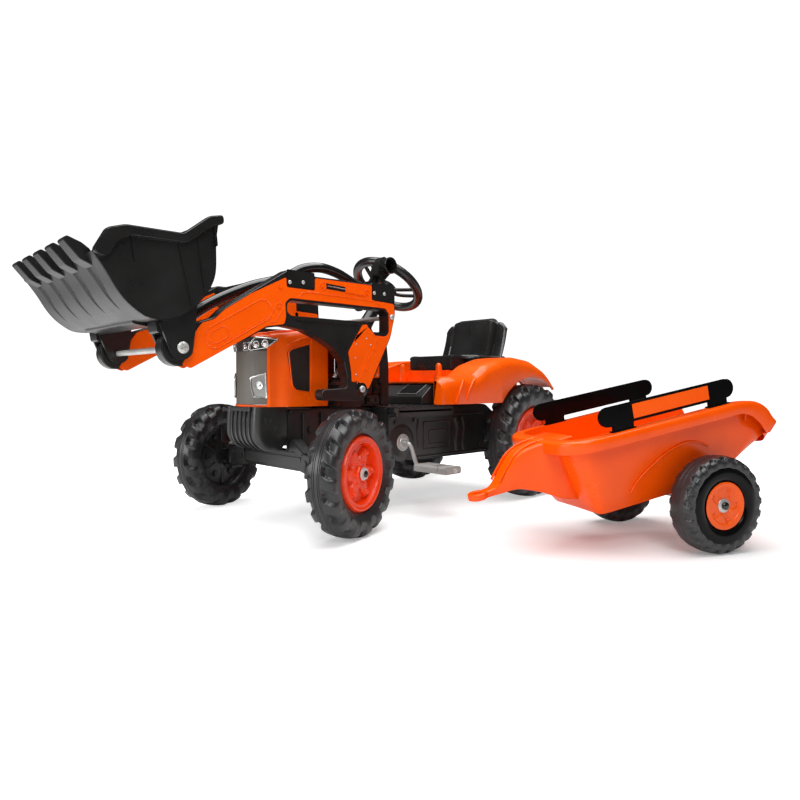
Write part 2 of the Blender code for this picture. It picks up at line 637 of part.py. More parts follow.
def drive():
    """Crankshaft with pedals, rear axle, sprockets and the chain between them."""
    crank = empty("crank_axis", (0.0,) + CRANK_CENTRE, None, row)
    lean = radians(CRANK_DEG)
    reach = Vector((0.0, CRANK_ARM * cos(lean), CRANK_ARM * sin(lean)))
    bend = BODY_HALF + BOSS + 0.008
    end = PEDAL_START + PEDAL_LENGTH + 0.006
    half = [Vector((x, *(reach * share)[1:])) for x, share in
            ((0.0, 0.0), (bend + 0.008, 0.0), (bend + 0.012, 0.02),
             (bend + 0.0155, 0.09), (bend + 0.0205, 0.90),
             (bend + 0.0245, 0.98), (bend + 0.0275, 1.0), (end, 1.0))]
    other = [Vector((-p.x, -p.y, -p.z)) for p in reversed(half[1:])]
    part("crankshaft", tube(other + half, CRANK_RADIUS, 10), ZINC, crank)
    hole = CRANK_RADIUS + GAP
    disc = turned([(-0.003, hole), (0.003, hole), (0.003, CRANK_SPROCKET), (-0.003, CRANK_SPROCKET)], 24)
    part("crank_sprocket", disc, ZINC, crank)
    for side, label in ((1, "left"), (-1, "right")):
        low, high = BODY_HALF - 0.010, BODY_HALF + BOSS + 0.0045
        face = BODY_HALF + BOSS + GAP
        bush = turned([(low, hole + 0.0002), (high, hole + 0.0002), (high, BUSH_RADIUS + 0.006),
                       (face, BUSH_RADIUS + 0.006), (face, BUSH_RADIUS), (low, BUSH_RADIUS)], 20)
        moved(bush, Matrix.Translation((0.0,) + CRANK_CENTRE))
        if side < 0:
            mirror_x(bush)
        part("crank_bush_%s" % label, bush, ZINC, row)
        pivot = empty("pedal_axis_%s" % label, side * reach, None, crank)
        pedal = box((PEDAL_START, -PEDAL_HALF_WIDTH, -PEDAL_HALF_HEIGHT),
                    (PEDAL_START + PEDAL_LENGTH, PEDAL_HALF_WIDTH, PEDAL_HALF_HEIGHT), 0.003)
        pedal = cut(pedal, pin_x(0.1, 0.4, CRANK_RADIUS + RUN, segments=14))
        if side < 0:
            mirror_x(pedal)
        part("pedal_%s" % label, pedal, PEDAL_PLASTIC, pivot)
    rear = empty("rear_axle_axis", (0.0, WHEELBASE, REAR_RADIUS), None, row)
    tip = REAR_TRACK / 2.0 + REAR_WIDTH / 2.0 - 0.004
    part("rear_axle", pin_x(-tip, tip, AXLE_RADIUS), ZINC, rear)
    hole = AXLE_RADIUS + GAP
    disc = turned([(-0.003, hole), (0.003, hole), (0.003, REAR_SPROCKET), (-0.003, REAR_SPROCKET)], 20)
    part("rear_sprocket", disc, ZINC, rear)
    for side in (1, -1):
        wheel("rear", side, REAR_RADIUS, REAR_WIDTH, REAR_DISC, AXLE_RADIUS + GAP, rear, REAR_TRACK / 2.0)
    band = cut(prism_x(chain_loop(GAP + CHAIN_THICK), -CHAIN_WIDTH / 2.0, CHAIN_WIDTH / 2.0),
               prism_x(chain_loop(GAP), -CHAIN_WIDTH, CHAIN_WIDTH))
    part("drive_chain", band, ZINC, row)


# ---------------------------------------------------------------- rear body and seat
def rear_body():
    """Orange fenders, decks and seat pedestal in one moulding."""
    wheel_centre = (WHEELBASE, REAR_RADIUS)
    arch = circle(wheel_centre, FENDER_ARCH, 12, radians(55.0), radians(90.0))
    top = [(-0.224, 0.306), (-0.183, 0.331), (-0.126, 0.348), (-0.069, 0.354), (0.001, 0.347), (0.056, 0.324)]
    crest = [(WHEELBASE + y, z) for y, z in top]
    outer = [(FOOT_FRONT, DECK_TOP + 0.006), (FOOT_FRONT + 0.006, 0.288), (FOOT_FRONT + 0.019, 0.302)] + crest
    outer += [(WHEELBASE + 0.085, 0.298), (WHEELBASE + 0.0965, 0.2765)]
    inner = [(FOOT_INNER_FRONT, 0.2905), (FOOT_INNER_FRONT + 0.006, 0.302)]
    inner += [(y, z - 0.002) for y, z in crest]
    inner += [(WHEELBASE + 0.084, 0.297), (WHEELBASE + 0.0955, 0.278)]
    inner += circle(wheel_centre, FENDER_ARCH + 0.0005, 8, radians(57.0), radians(67.0))
    inner += [(WHEELBASE - 0.186, 0.2905)]
    shapes = []
    for side in (-1, 1):
        ends = sorted((side * 0.190, side * FENDER_OUTER))
        shapes.append(prism_x(outer + arch, ends[0], ends[1]))
        ends = sorted((side * 0.128, side * 0.192))
        shapes.append(prism_x(inner, ends[0], ends[1]))
    deck = box((-0.130, DECK_FRONT, 0.290), (0.130, WHEELBASE + 0.074, 0.303))
    front = [box((min(s * FENDER_INNER, s * 0.130), FOOT_INNER_FRONT, 0.2905),
                 (max(s * FENDER_INNER, s * 0.130), DECK_FRONT + 0.005, 0.302)) for s in (-1, 1)]
    pedestal = box((-0.074, SEAT_BASE_FRONT - 0.014, 0.262), (0.074, SEAT_BASE_REAR + 0.012, PEDESTAL_TOP))
    apron = box((-0.118, DECK_FRONT, DECK_TOP + GAP), (0.118, DECK_FRONT + 0.012, 0.296))
    pocket = box((-0.068, SEAT_BASE_FRONT - 0.008, 0.2), (0.068, SEAT_BASE_REAR + 0.006, PEDESTAL_TOP - WALL))
    shape = cut(union(deck, *shapes, *front, pedestal, apron), pocket)
    part("rear_body", shape, ORANGE_PLASTIC, row)


def seat():
    """Seat moulding: pan, apron and a raked back with side wings."""
    pan = box((-SEAT_HALF * 0.70, SEAT_BASE_FRONT, PEDESTAL_TOP + GAP),
              (SEAT_HALF * 0.70, SEAT_BASE_REAR, SEAT_TOP - 0.002), 0.004)
    lid = box((-SEAT_HALF, SEAT_BASE_FRONT + 0.010, SEAT_TOP - 0.010),
              (SEAT_HALF, SEAT_BASE_REAR + 0.004, SEAT_TOP), 0.004)
    back = [(SEAT_BASE_REAR - 0.030, SEAT_TOP - 0.012), (SEAT_BASE_REAR + 0.010, SEAT_TOP - 0.012),
            (SEAT_BASE_REAR + 0.040, SEAT_BACK_TOP), (SEAT_BASE_REAR + 0.018, SEAT_BACK_TOP)]
    upright = prism_x(back, -SEAT_HALF, SEAT_HALF)
    trim = [box((min(s * (SEAT_HALF - 0.012), s * 0.2), SEAT_BASE_FRONT, SEAT_TOP + 0.060),
                (max(s * (SEAT_HALF - 0.012), s * 0.2), SEAT_BASE_REAR + 0.14, 0.6)) for s in (-1, 1)]
    shape = cut(union(pan, lid, upright), *trim)
    part("seat", shape, BLACK_PLASTIC, row)


# ---------------------------------------------------------------- loader
def arm_outline():
    """Side view of a loader arm, round its bucket tip and down to its pivot."""
    tip = circle(BUCKET_PIVOT, 0.031, 8, radians(115.0), radians(170.0))
    lower = [(-0.162, 0.364), (-0.121, 0.387), (-0.083, 0.393), (-0.038, 0.388), (0.003, 0.373),
             (0.036, 0.355), (0.060, 0.330), (0.069, 0.300), (0.067, 0.278)]
    stub = [(0.008, 0.277), (0.002, 0.266), (0.008, 0.253), (0.092, 0.250), (0.112, 0.253)]
    rear = [(0.124, 0.266), (0.190, 0.388), (0.203, 0.436), (0.200, 0.500), (0.135, 0.500),
            (0.135, 0.496), (-0.014, 0.494), (-0.014, 0.500), (-0.072, 0.500), (-0.152, 0.451),
            (-0.204, 0.418), (-0.222, 0.400), (-0.270, 0.385)]
    return tip + lower + stub + rear


def window_outline():
    """Long opening through an arm, with its step at the rear."""
    return [(-0.068, 0.442), (-0.076, 0.436), (-0.076, 0.420), (-0.068, 0.414), (0.126, 0.415),
            (0.139, 0.393), (0.172, 0.392), (0.178, 0.398), (0.178, 0.434), (0.170, 0.443)]


def loader():
    """Both arms, their cross members and the rods through their ends."""
    pivot = empty("lift_axis", (0.0,) + ARM_PIVOT, None, row)
    home = Matrix.Translation((0.0, -ARM_PIVOT[0], -ARM_PIVOT[1]))
    for side, label in ((1, "left"), (-1, "right")):
        ends = sorted((side * ARM_INNER, side * (ARM_INNER + ARM_THICK)))
        tools = [prism_x(window_outline(), ends[0] - 0.01, ends[1] + 0.01),
                 pin_x(-0.3, 0.3, PIVOT_RADIUS + GAP, ARM_PIVOT),
                 pin_x(-0.3, 0.3, PIVOT_RADIUS + GAP, BUCKET_PIVOT),
                 pin_x(-0.3, 0.3, CROSS_ROD + GAP, CROSS_ROD_AT)]
        if side > 0:
            tools.append(pin_x(ARM_INNER - 0.01, ARM_INNER + 0.016, LINK_PIN + RUN, LEVER_PIVOT))
        shape = cut(prism_x(arm_outline(), ends[0], ends[1]), *tools)
        part("arm_%s" % label, moved(shape, home), ORANGE_PLASTIC, pivot)
    edge = ARM_INNER - GAP
    beam = cut(box((-edge, -0.072, 0.452), (edge, -0.035, 0.494), 0.003),
               box((LINK_INNER - 0.003, -0.1, 0.462), (LINK_INNER + LINK_THICK + 0.003, 0.0, 0.6)))
    part("front_cross_beam", moved(beam, home), BLACK_PLASTIC, pivot)
    tip = ARM_INNER + ARM_THICK + 0.005
    part("rear_cross_rod", moved(pin_x(-tip, tip, CROSS_ROD, CROSS_ROD_AT), home), ZINC, pivot)
    reach = ARM_INNER + ARM_THICK + EAR_GAP + EAR_THICK + 0.002
    for name, centre, length in (("lift_pin", ARM_PIVOT, ARM_INNER + ARM_THICK + 0.001),
                                 ("bucket_pin", BUCKET_PIVOT, reach)):
        heads = [pin_x(min(s * length, s * (length + 0.006)), max(s * length, s * (length + 0.006)),
                       0.0095, centre, 12) for s in (-1, 1)]
        rod = pin_x(-length - 0.001, length + 0.001, PIVOT_RADIUS, centre)
        part(name, moved(union(rod, *heads), home), ZINC, pivot)
    return pivot, home


def bucket(parent):
    """Scoop with cheeks, rim, five teeth and four ears on the arm tips."""
    pivot = empty("bucket_axis", (0.0, BUCKET_PIVOT[0] - ARM_PIVOT[0], BUCKET_PIVOT[1] - ARM_PIVOT[1]),
                  None, parent)
    home = Matrix.Translation((0.0, -BUCKET_PIVOT[0], -BUCKET_PIVOT[1]))
    floor = [(-0.426, 0.476), (-0.409, 0.452), (-0.388, 0.419), (-0.366, 0.397), (-0.340, 0.386),
             (-0.300, 0.390), (-0.262, 0.418), (-0.236, 0.462)]
    rim = [(-0.233, 0.520), (-0.228, 0.562), (-0.249, 0.557), (-0.293, 0.522), (-0.382, 0.520),
           (-0.408, 0.512)]
    outer = prism_x(floor + rim, -BUCKET_HALF, BUCKET_HALF)
    inside = [(-0.4215, 0.4800), (-0.4035, 0.4545), (-0.3835, 0.4232), (-0.3635, 0.4026),
              (-0.3400, 0.3925), (-0.3020, 0.3965), (-0.2665, 0.4225), (-0.2420, 0.4630),
              (-0.2400, 0.5200), (-0.2370, 0.6000), (-0.4700, 0.6000), (-0.4700, 0.5000)]
    wall = BUCKET_HALF - BUCKET_WALL
    scoop = cut(outer, prism_x(inside, -wall, wall))
    band = [(-0.428, 0.478), (-0.409, 0.513), (-0.382, 0.5215), (-0.293, 0.5235), (-0.249, 0.5585),
            (-0.224, 0.564), (-0.222, 0.553), (-0.243, 0.543), (-0.288, 0.509), (-0.378, 0.507),
            (-0.409, 0.484)]
    pieces = []
    for side in (-1, 1):
        ends = sorted((side * (BUCKET_HALF - 0.003), side * (BUCKET_HALF + 0.007)))
        pieces.append(prism_x(band, ends[0], ends[1]))
        for start in (ARM_INNER - EAR_GAP - EAR_THICK, ARM_INNER + ARM_THICK + EAR_GAP):
            ear = [(-0.330, 0.392)] + circle(BUCKET_PIVOT, 0.020, 8, radians(190.0), radians(160.0))
            ear += [(-0.268, 0.414)]
            ends = sorted((side * start, side * (start + EAR_THICK)))
            pieces.append(prism_x(ear, ends[0], ends[1]))
    for index in range(TOOTH_COUNT):
        x = (index - (TOOTH_COUNT - 1) / 2.0) * TOOTH_PITCH
        tooth = [(-0.413, 0.462), (-0.418, 0.482), (-0.430, 0.492), (-0.452, 0.501), (-0.456, 0.494),
                 (-0.432, 0.469)]
        pieces.append(prism_x(tooth, x - TOOTH_WIDTH / 2.0, x + TOOTH_WIDTH / 2.0))
    pin = (BUCKET_PIVOT[0] + CRANK_OFFSET[0], BUCKET_PIVOT[1] + CRANK_OFFSET[1])
    ear_outer = ARM_INNER - EAR_GAP
    lug = [(-0.290, 0.360), (-0.278, 0.345)] + circle(pin, 0.012, 6, radians(-60.0), radians(120.0))
    lug += [(-0.264, 0.4185), (-0.290, 0.398)]
    pieces.append(prism_x(lug, ear_outer - EAR_THICK, ear_outer))
    shape = union(scoop, *pieces)
    shape = cut(shape, pin_x(-0.3, 0.3, PIVOT_RADIUS + RUN, BUCKET_PIVOT),
                pin_x(ear_outer - 0.02, ear_outer + 0.005, LINK_PIN + RUN, pin))
    part("bucket", moved(shape, home), BLACK_PLASTIC, pivot)
    link_axis = empty("link_axis", (0.0,) + CRANK_OFFSET, None, pivot)
    tilt_link(link_axis, pin)


def tilt_link(parent, pin):
    """Rod from the bucket's lug, over the arm, to the lever."""
    far = (LEVER_PIVOT[0] + CRANK_OFFSET[0], LEVER_PIVOT[1] + CRANK_OFFSET[1])
    x = LINK_INNER + LINK_THICK / 2.0
    route = [(x, pin[0], pin[1]), (x, -0.200, 0.430), (x, -0.120, 0.468), (x, -0.045, 0.492),
             (x, 0.000, 0.516), (x, 0.045, 0.525), (x, 0.090, 0.519), (x, 0.130, 0.505),
             (x, far[0], far[1])]
    bar = tube(smooth_path(route, 3), LINK_THICK / 2.0, 10)
    eye = pin_x(LINK_INNER, LINK_INNER + LINK_THICK, 0.011, far, 14)
    boss = pin_x(LINK_INNER, LINK_INNER + LINK_THICK, 0.010, pin, 14)
    stub = pin_x(LINK_INNER + LINK_THICK - 0.004, ARM_INNER - EAR_GAP, LINK_PIN, pin, 12)
    shape = union(bar, eye, boss, stub)
    shape = cut(shape, pin_x(LINK_INNER - 0.01, LINK_INNER + LINK_THICK + 0.01, LINK_PIN + RUN, far, 14))
    part("tilt_link", moved(shape, Matrix.Translation((0.0, -pin[0], -pin[1]))), BLACK_PLASTIC, parent)


def tilt_lever(parent):
    """Upright lever with a short cross tube to hold."""
    centre = LEVER_PIVOT
    axis = empty("lever_axis", (0.0, centre[0] - ARM_PIVOT[0], centre[1] - ARM_PIVOT[1]), None, parent)
    low = LEVER_INNER
    high = LEVER_INNER + LEVER_THICK
    pin = CRANK_OFFSET
    grip = GRIP_OFFSET
    across = Vector((0.0, -grip[1], grip[0])).normalized() * 0.009
    bar = [(across.y, across.z), (-across.y, -across.z),
           (grip[0] - across.y, grip[1] - across.z), (grip[0] + across.y, grip[1] + across.z)]
    shape = union(prism_x(bar, low, high), pin_x(low, high, 0.012, segments=14),
                  pin_x(high - 0.002, high + 0.012, LINK_PIN, segments=12),
                  pin_x(LINK_INNER - 0.003, low + 0.003, LINK_PIN, pin, 12),
                  pin_x(low, high, 0.0115, pin, 14),
                  pin_x(low - 0.002, high + 0.028, GRIP_RADIUS, grip, 18))
    shape = cut(shape, pin_x(low + 0.004, high + 0.04, GRIP_RADIUS - 0.0035, grip, 18))
    part("tilt_lever", shape, BLACK_PLASTIC, axis)


# ---------------------------------------------------------------- trailer
def trailer():
    """Axle and wheels, with the tub, its tongue and rails pitched about the axle."""
    yaw = -radians(TRAILER_YAW_DEG)
    axle = empty("trailer_axle_axis", TRAILER_AXLE, (0.0, 0.0, yaw), row)
    tip = TRAILER_TRACK / 2.0 + TRAILER_WHEEL_WIDTH / 2.0 - 0.001
    part("trailer_axle", pin_x(-tip, tip, TRAILER_PIN), ZINC, axle)
    for side in (1, -1):
        wheel("trailer", side, TRAILER_RADIUS, TRAILER_WHEEL_WIDTH, TRAILER_DISC,
              TRAILER_PIN + RUN, axle, TRAILER_TRACK / 2.0)
    body = empty("trailer_body_axis", (0.0, 0.0, 0.0), (radians(TRAILER_PITCH_DEG), 0.0, 0.0), axle)
    part("trailer_tub", tub(), ORANGE_PLASTIC, body)
    for side, label in ((1, "left"), (-1, "right")):
        ends = sorted((side * RAIL_SETTING, side * (RAIL_SETTING - RAIL_THICK)))
        part("trailer_rail_%s" % label, prism_x(rail_outline(), ends[0], ends[1]), BLACK_PLASTIC, body)


def rail_outline():
    """Side board with round ends on two posts."""
    low, high = 0.169, 0.201
    radius = (high - low) / 2.0
    middle = (low + high) / 2.0
    left, right = -0.184 + radius, 0.098 - radius
    foot = TUB_RIM + GAP
    start = circle((left, middle), radius, 6, radians(90.0), radians(180.0))
    end = circle((right, middle), radius, 6, radians(-90.0), radians(180.0))
    posts = [(-0.160, low), (-0.160, foot), (-0.122, foot), (-0.122, low),
             (0.038, low), (0.038, foot), (0.078, foot), (0.078, low)]
    return start + posts + end


def tub():
    """Tapered tub, open on top, with a rim flange, axle lugs and an S-shaped tongue."""
    def plan(half, front, rear, nose):
        return [(half, rear), (half, front + 0.030), (half - 0.020, front), (nose, front - 0.012),
                (-nose, front - 0.012), (-half + 0.020, front), (-half, front + 0.030), (-half, rear)]

    outer = skin([[(x, y, TUB_FLOOR) for x, y in plan(TUB_FLOOR_HALF, -0.185, 0.060, 0.030)],
                  [(x, y, TUB_RIM) for x, y in plan(TUB_HALF + 0.004, TUB_FRONT, TUB_REAR, 0.040)]])
    flange = skin([[(x, y, z) for x, y in plan(TUB_HALF + FLANGE, TUB_FRONT - 0.016, TUB_REAR, 0.045)]
                   for z in (TUB_RIM - 0.018, TUB_RIM)])
    tongue_side = [(RING_CENTRE - RING_RADIUS, 0.080), (RING_CENTRE - RING_RADIUS, 0.092),
                   (RING_CENTRE + 0.030, 0.094), (-0.322, 0.112), (-0.305, 0.138), (-0.282, 0.151),
                   (-0.180, TUB_RIM - 0.002), (-0.180, 0.060), (-0.215, 0.055), (-0.260, 0.080),
                   (-0.310, 0.086), (RING_CENTRE + 0.030, 0.081)]
    tongue = prism_x(tongue_side, -0.026, 0.026)
    ring = pin_z(0.080, 0.092, RING_RADIUS, (0.0, RING_CENTRE), 20)
    narrow = [box((min(s * 0.013, s * 0.05), RING_CENTRE - 0.03, 0.07),
                  (max(s * 0.013, s * 0.05), RING_CENTRE + 0.034, 0.12)) for s in (-1, 1)]
    tongue = cut(tongue, *narrow)
    cradle = circle((0.0, 0.0), 0.011, 8, radians(180.0), radians(180.0))
    lugs = [prism_x([(-0.018, TUB_FLOOR + 0.002)] + cradle
                    + [(0.018, TUB_FLOOR + 0.002)], s * 0.060 - 0.005, s * 0.060 + 0.005) for s in (-1, 1)]
    shape = union(outer, flange, tongue, ring, *lugs)
    hollow = skin([[(x, y, TUB_FLOOR + TUB_WALL)
                    for x, y in plan(TUB_FLOOR_HALF - TUB_WALL, -0.181, 0.058, 0.030)],
                   [(x, y, TUB_RIM + 0.02)
                    for x, y in plan(TUB_HALF + 0.003, TUB_FRONT + 0.004, 0.200, 0.040)]])
    spout = prism_x([(0.092, TUB_RIM + 0.001), (0.115, TUB_RIM - 0.004), (0.158, 0.098), (0.166, 0.060),
                     (0.200, 0.060), (0.200, TUB_RIM + 0.001)], -0.2, 0.2)
    ring_hole = pin_z(0.05, 0.12, RING_HOLE, (0.0, RING_CENTRE), 16)
    axle_hole = pin_x(-0.2, 0.2, TRAILER_PIN + RUN, segments=14)
    return cut(shape, hollow, spout, ring_hole, axle_hole)


# ---------------------------------------------------------------- build
for leftover in list(bpy.data.objects):
    bpy.data.objects.remove(leftover)

ORANGE_PLASTIC = material("orange_plastic", ORANGE, 0.35)
BLACK_PLASTIC = material("black_plastic", BLACK, 0.40)
RUBBER = material("tyre_plastic", TYRE_BLACK, 0.50)
DISC = material("disc_plastic", RED_ORANGE, 0.35)
GREY_PLASTIC = material("grey_plastic", GREY, 0.45)
LAMP = material("lamp_lens", CLEAR, 0.15)
ZINC = material("zinc_steel", STEEL, 0.30, 1.0)
PEDAL_PLASTIC = material("pedal_plastic", PEDAL_GREY, 0.50)

row = empty("row", ROW_SHIFT)
axle_beam()
chassis()
front_weights()
hood()
grille()
lamps()
vents()
column()
steering()
front_corner(1)
front_corner(-1)
tie_rod()
drive()
rear_body()
seat()
lift_axis, lift_home = loader()
bucket(lift_axis)
tilt_lever(lift_axis)
part("hitch_pin", union(pin_z(0.150, 0.205, 0.006, (0.0, WHEELBASE + 0.062)),
                        box((-0.014, WHEELBASE + 0.0365, 0.150), (0.014, WHEELBASE + 0.074, 0.156))),
     ZINC, row)
trailer()
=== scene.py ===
"""Looks of the pedal tractor with its front loader and trailer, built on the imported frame."""
from math import atan2, cos, hypot, pi, radians, sin

import bmesh
import bpy
from mathutils import Matrix, Vector


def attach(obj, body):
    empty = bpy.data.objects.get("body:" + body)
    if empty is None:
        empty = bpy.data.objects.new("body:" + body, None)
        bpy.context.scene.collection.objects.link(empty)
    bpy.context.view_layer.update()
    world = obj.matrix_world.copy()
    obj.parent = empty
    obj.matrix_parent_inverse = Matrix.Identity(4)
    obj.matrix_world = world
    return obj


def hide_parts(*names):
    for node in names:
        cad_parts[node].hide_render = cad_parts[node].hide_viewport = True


ROW = Vector((-0.25245, -0.1515, 0.0))      # front-axle point to the row's origin
STEER = radians(18.0)
LIFT = (0.106, 0.276)                       # side-view points, Y and Z from the front axle
CROSS_ROD = (0.19, 0.43)
LEVER_PIVOT = (0.135, 0.4537)
CRANK = (0.249, 0.155)
REAR_HUB = (0.616, 0.143)
KINGPIN = 0.195
WHEEL_OUT = 0.0385
TRAILER_AT = Vector((0.6286, 0.4411, 0.083)) + ROW
TRAILER = Matrix.Translation(TRAILER_AT) @ Matrix.Rotation(radians(-26.1), 4, "Z")
PITCH = TRAILER @ Matrix.Rotation(radians(11.06), 4, "X")
TRACTOR = Matrix.Translation(ROW)
MIRROR = Matrix.Scale(-1.0, 4, (1.0, 0.0, 0.0))

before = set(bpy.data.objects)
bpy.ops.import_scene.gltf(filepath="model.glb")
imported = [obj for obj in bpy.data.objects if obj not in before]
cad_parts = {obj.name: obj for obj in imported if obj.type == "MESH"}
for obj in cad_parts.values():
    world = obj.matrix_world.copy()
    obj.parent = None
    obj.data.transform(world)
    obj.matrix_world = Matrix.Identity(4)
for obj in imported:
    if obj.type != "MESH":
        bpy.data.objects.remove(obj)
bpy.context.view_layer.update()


# ---------------------------------------------------------------- materials
def node(tree, kind, **values):
    made = tree.nodes.new(kind)
    for key, value in values.items():
        made.inputs[key].default_value = value
    return made


def plastic(name, colour, dark, rough, grain=900.0, bump=0.06, coat=0.0, specular=0.5, metallic=0.0):
    """Moulded surface: fine grain in the bump, broad drift in colour and roughness."""
    made = bpy.data.materials.new(name)
    made.use_nodes = True
    tree = made.node_tree
    shader = tree.nodes["Principled BSDF"]
    shader.inputs["Coat Weight"].default_value = coat
    shader.inputs["Coat Roughness"].default_value = 0.08
    shader.inputs["Specular IOR Level"].default_value = specular
    shader.inputs["Metallic"].default_value = metallic
    place = tree.nodes.new("ShaderNodeTexCoord")
    fine = node(tree, "ShaderNodeTexNoise", Scale=grain, Detail=3.0, Roughness=0.6)
    broad = node(tree, "ShaderNodeTexNoise", Scale=14.0, Detail=4.0, Roughness=0.55)
    for texture in (fine, broad):
        tree.links.new(place.outputs["Object"], texture.inputs["Vector"])
    ramp = tree.nodes.new("ShaderNodeValToRGB")
    ramp.color_ramp.elements[0].position = 0.3
    ramp.color_ramp.elements[0].color = (*dark, 1.0)
    ramp.color_ramp.elements[1].position = 0.62
    ramp.color_ramp.elements[1].color = (*colour, 1.0)
    tree.links.new(broad.outputs["Fac"], ramp.inputs["Fac"])
    tree.links.new(ramp.outputs["Color"], shader.inputs["Base Color"])
    spread = node(tree, "ShaderNodeMapRange")
    spread.inputs["From Min"].default_value = 0.3
    spread.inputs["From Max"].default_value = 0.7
    spread.inputs["To Min"].default_value = rough * 0.82
    spread.inputs["To Max"].default_value = min(1.0, rough * 1.2)
    tree.links.new(broad.outputs["Fac"], spread.inputs["Value"])
    tree.links.new(spread.outputs["Result"], shader.inputs["Roughness"])
    relief = node(tree, "ShaderNodeBump", Strength=bump, Distance=0.0006)
    tree.links.new(fine.outputs["Fac"], relief.inputs["Height"])
    tree.links.new(relief.outputs["Normal"], shader.inputs["Normal"])
    return made


ORANGE = plastic("orange_gloss", (1.0, 0.112, 0.0002), (0.95, 0.098, 0.0002), 0.26, 700.0, 0.03,
                 specular=0.32)
TUB_ORANGE = plastic("tub_orange", (0.95, 0.092, 0.0002), (0.88, 0.08, 0.0002), 0.24, 700.0, 0.03,
                     specular=0.28)
DISC_RED = plastic("disc_red_orange", (0.84, 0.045, 0.0012), (0.72, 0.034, 0.001), 0.26, 800.0, 0.04,
                   specular=0.35)
DISC_ORANGE = plastic("disc_orange", (0.9, 0.1, 0.0015), (0.8, 0.085, 0.0012), 0.3, 800.0, 0.04,
                      specular=0.35)
BLACK = plastic("black_satin", (0.011, 0.0108, 0.0105), (0.008, 0.0078, 0.0075), 0.3, 1200.0, 0.1, 0.15)
SHINY = plastic("black_gloss", (0.008, 0.008, 0.008), (0.006, 0.006, 0.006), 0.17, 900.0, 0.02, 0.3)
# Lighter copy of the black plastic: its paler base colour is painted fill light on the shaded chassis, front
# weights, axle trim and weight rings; its rougher, stronger sheen is the plastic's own.
BLACK_WITH_PAINTED_FILL = plastic("black_with_painted_fill", (0.019, 0.0185, 0.018), (0.014, 0.0136, 0.0132), 0.38, 1200.0, 0.08,
                specular=0.75)
WALL = plastic("wall_gloss", (0.0035, 0.0035, 0.0036), (0.0025, 0.0025, 0.0026), 0.14, 900.0, 0.01,
               specular=0.12)
TYRE = plastic("tyre_charcoal", (0.021, 0.0215, 0.023), (0.014, 0.0145, 0.0155), 0.33, 1500.0, 0.22, 0.1)
GRILLE = plastic("grille_grey", (0.15, 0.136, 0.115), (0.118, 0.106, 0.09), 0.34, 1300.0, 0.12)
MESH = plastic("vent_mesh", (0.018, 0.017, 0.015), (0.01, 0.0095, 0.009), 0.4, 2600.0, 0.8)
SILVER = plastic("lamp_silver", (0.66, 0.66, 0.65), (0.46, 0.46, 0.45), 0.2, 500.0, 0.1, metallic=0.85)
LENS = plastic("lamp_lens", (0.42, 0.42, 0.4), (0.2, 0.2, 0.19), 0.1, 260.0, 0.4, 0.6)
ZINC = plastic("zinc", (0.62, 0.62, 0.6), (0.46, 0.46, 0.45), 0.34, 1100.0, 0.12, metallic=0.45)
PEDAL = plastic("pedal_grey", (0.36, 0.355, 0.34), (0.28, 0.275, 0.26), 0.48, 1100.0, 0.15)


# ---------------------------------------------------------------- mesh helpers
def piece(name, shape, surface, body, where=TRACTOR, angle=38.0, instead=(), side=1):
    """Object from a bmesh, placed, shaded smooth up to an angle, riding on a body."""
    matrix = where @ MIRROR if side < 0 else where
    bmesh.ops.transform(shape, matrix=matrix, verts=shape.verts)
    bmesh.ops.recalc_face_normals(shape, faces=shape.faces)
    mesh = bpy.data.meshes.new(name)
    shape.to_mesh(mesh)
    shape.free()
    mesh.shade_smooth()
    mesh.set_sharp_from_angle(angle=radians(angle))
    made = bpy.data.objects.new(name, mesh)
    bpy.context.collection.objects.link(made)
    mesh.materials.append(surface)
    for part in instead:
        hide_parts(part)
    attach(made, body)
    return made


def label(side):
    return "left" if side > 0 else "right"


def grid(rows, wrap_rows=False, wrap_columns=False):
    """Skin over rows of points; either way round may close on itself."""
    shape = bmesh.new()
    lines = [[shape.verts.new(point) for point in row] for row in rows]
    many, wide = len(lines), len(lines[0])
    for i in range(many if wrap_rows else many - 1):
        for j in range(wide if wrap_columns else wide - 1):
            a, b = lines[i], lines[(i + 1) % many]
            k = (j + 1) % wide
            shape.faces.new((a[j], a[k], b[k], b[j]))
    return shape


def caps(shape, first, last):
    """Flat faces over two loops of vertices."""
    shape.faces.new(first)
    shape.faces.new(last)
    return shape


def capped(shape, count):
    """Close a skin at both ends, where its rows hold this many points."""
    shape.verts.ensure_lookup_table()
    caps(shape, shape.verts[:count], shape.verts[-count:])


def turned(profile, segments, closed=True):
    """Profile of (x, radius) turned about X."""
    rows = []
    for step in range(segments):
        angle = 2.0 * pi * step / segments
        rows.append([(x, r * cos(angle), r * sin(angle)) for x, r in profile])
    return grid(rows, True, closed)


def rounded(points, radius=0.004, steps=5):
    """Outline with its corners rounded."""
    outline = []
    count = len(points)
    for index in range(count):
        here = Vector(points[index])
        back = Vector(points[index - 1]) - here
        on = Vector(points[(index + 1) % count]) - here
        reach = min(radius, back.length * 0.45, on.length * 0.45)
        start = here + back.normalized() * reach
        end = here + on.normalized() * reach
        for step in range(steps + 1):
            t = step / steps
            outline.append(tuple(start * (1 - t) ** 2 + here * (2 * t * (1 - t)) + end * t ** 2))
    return outline


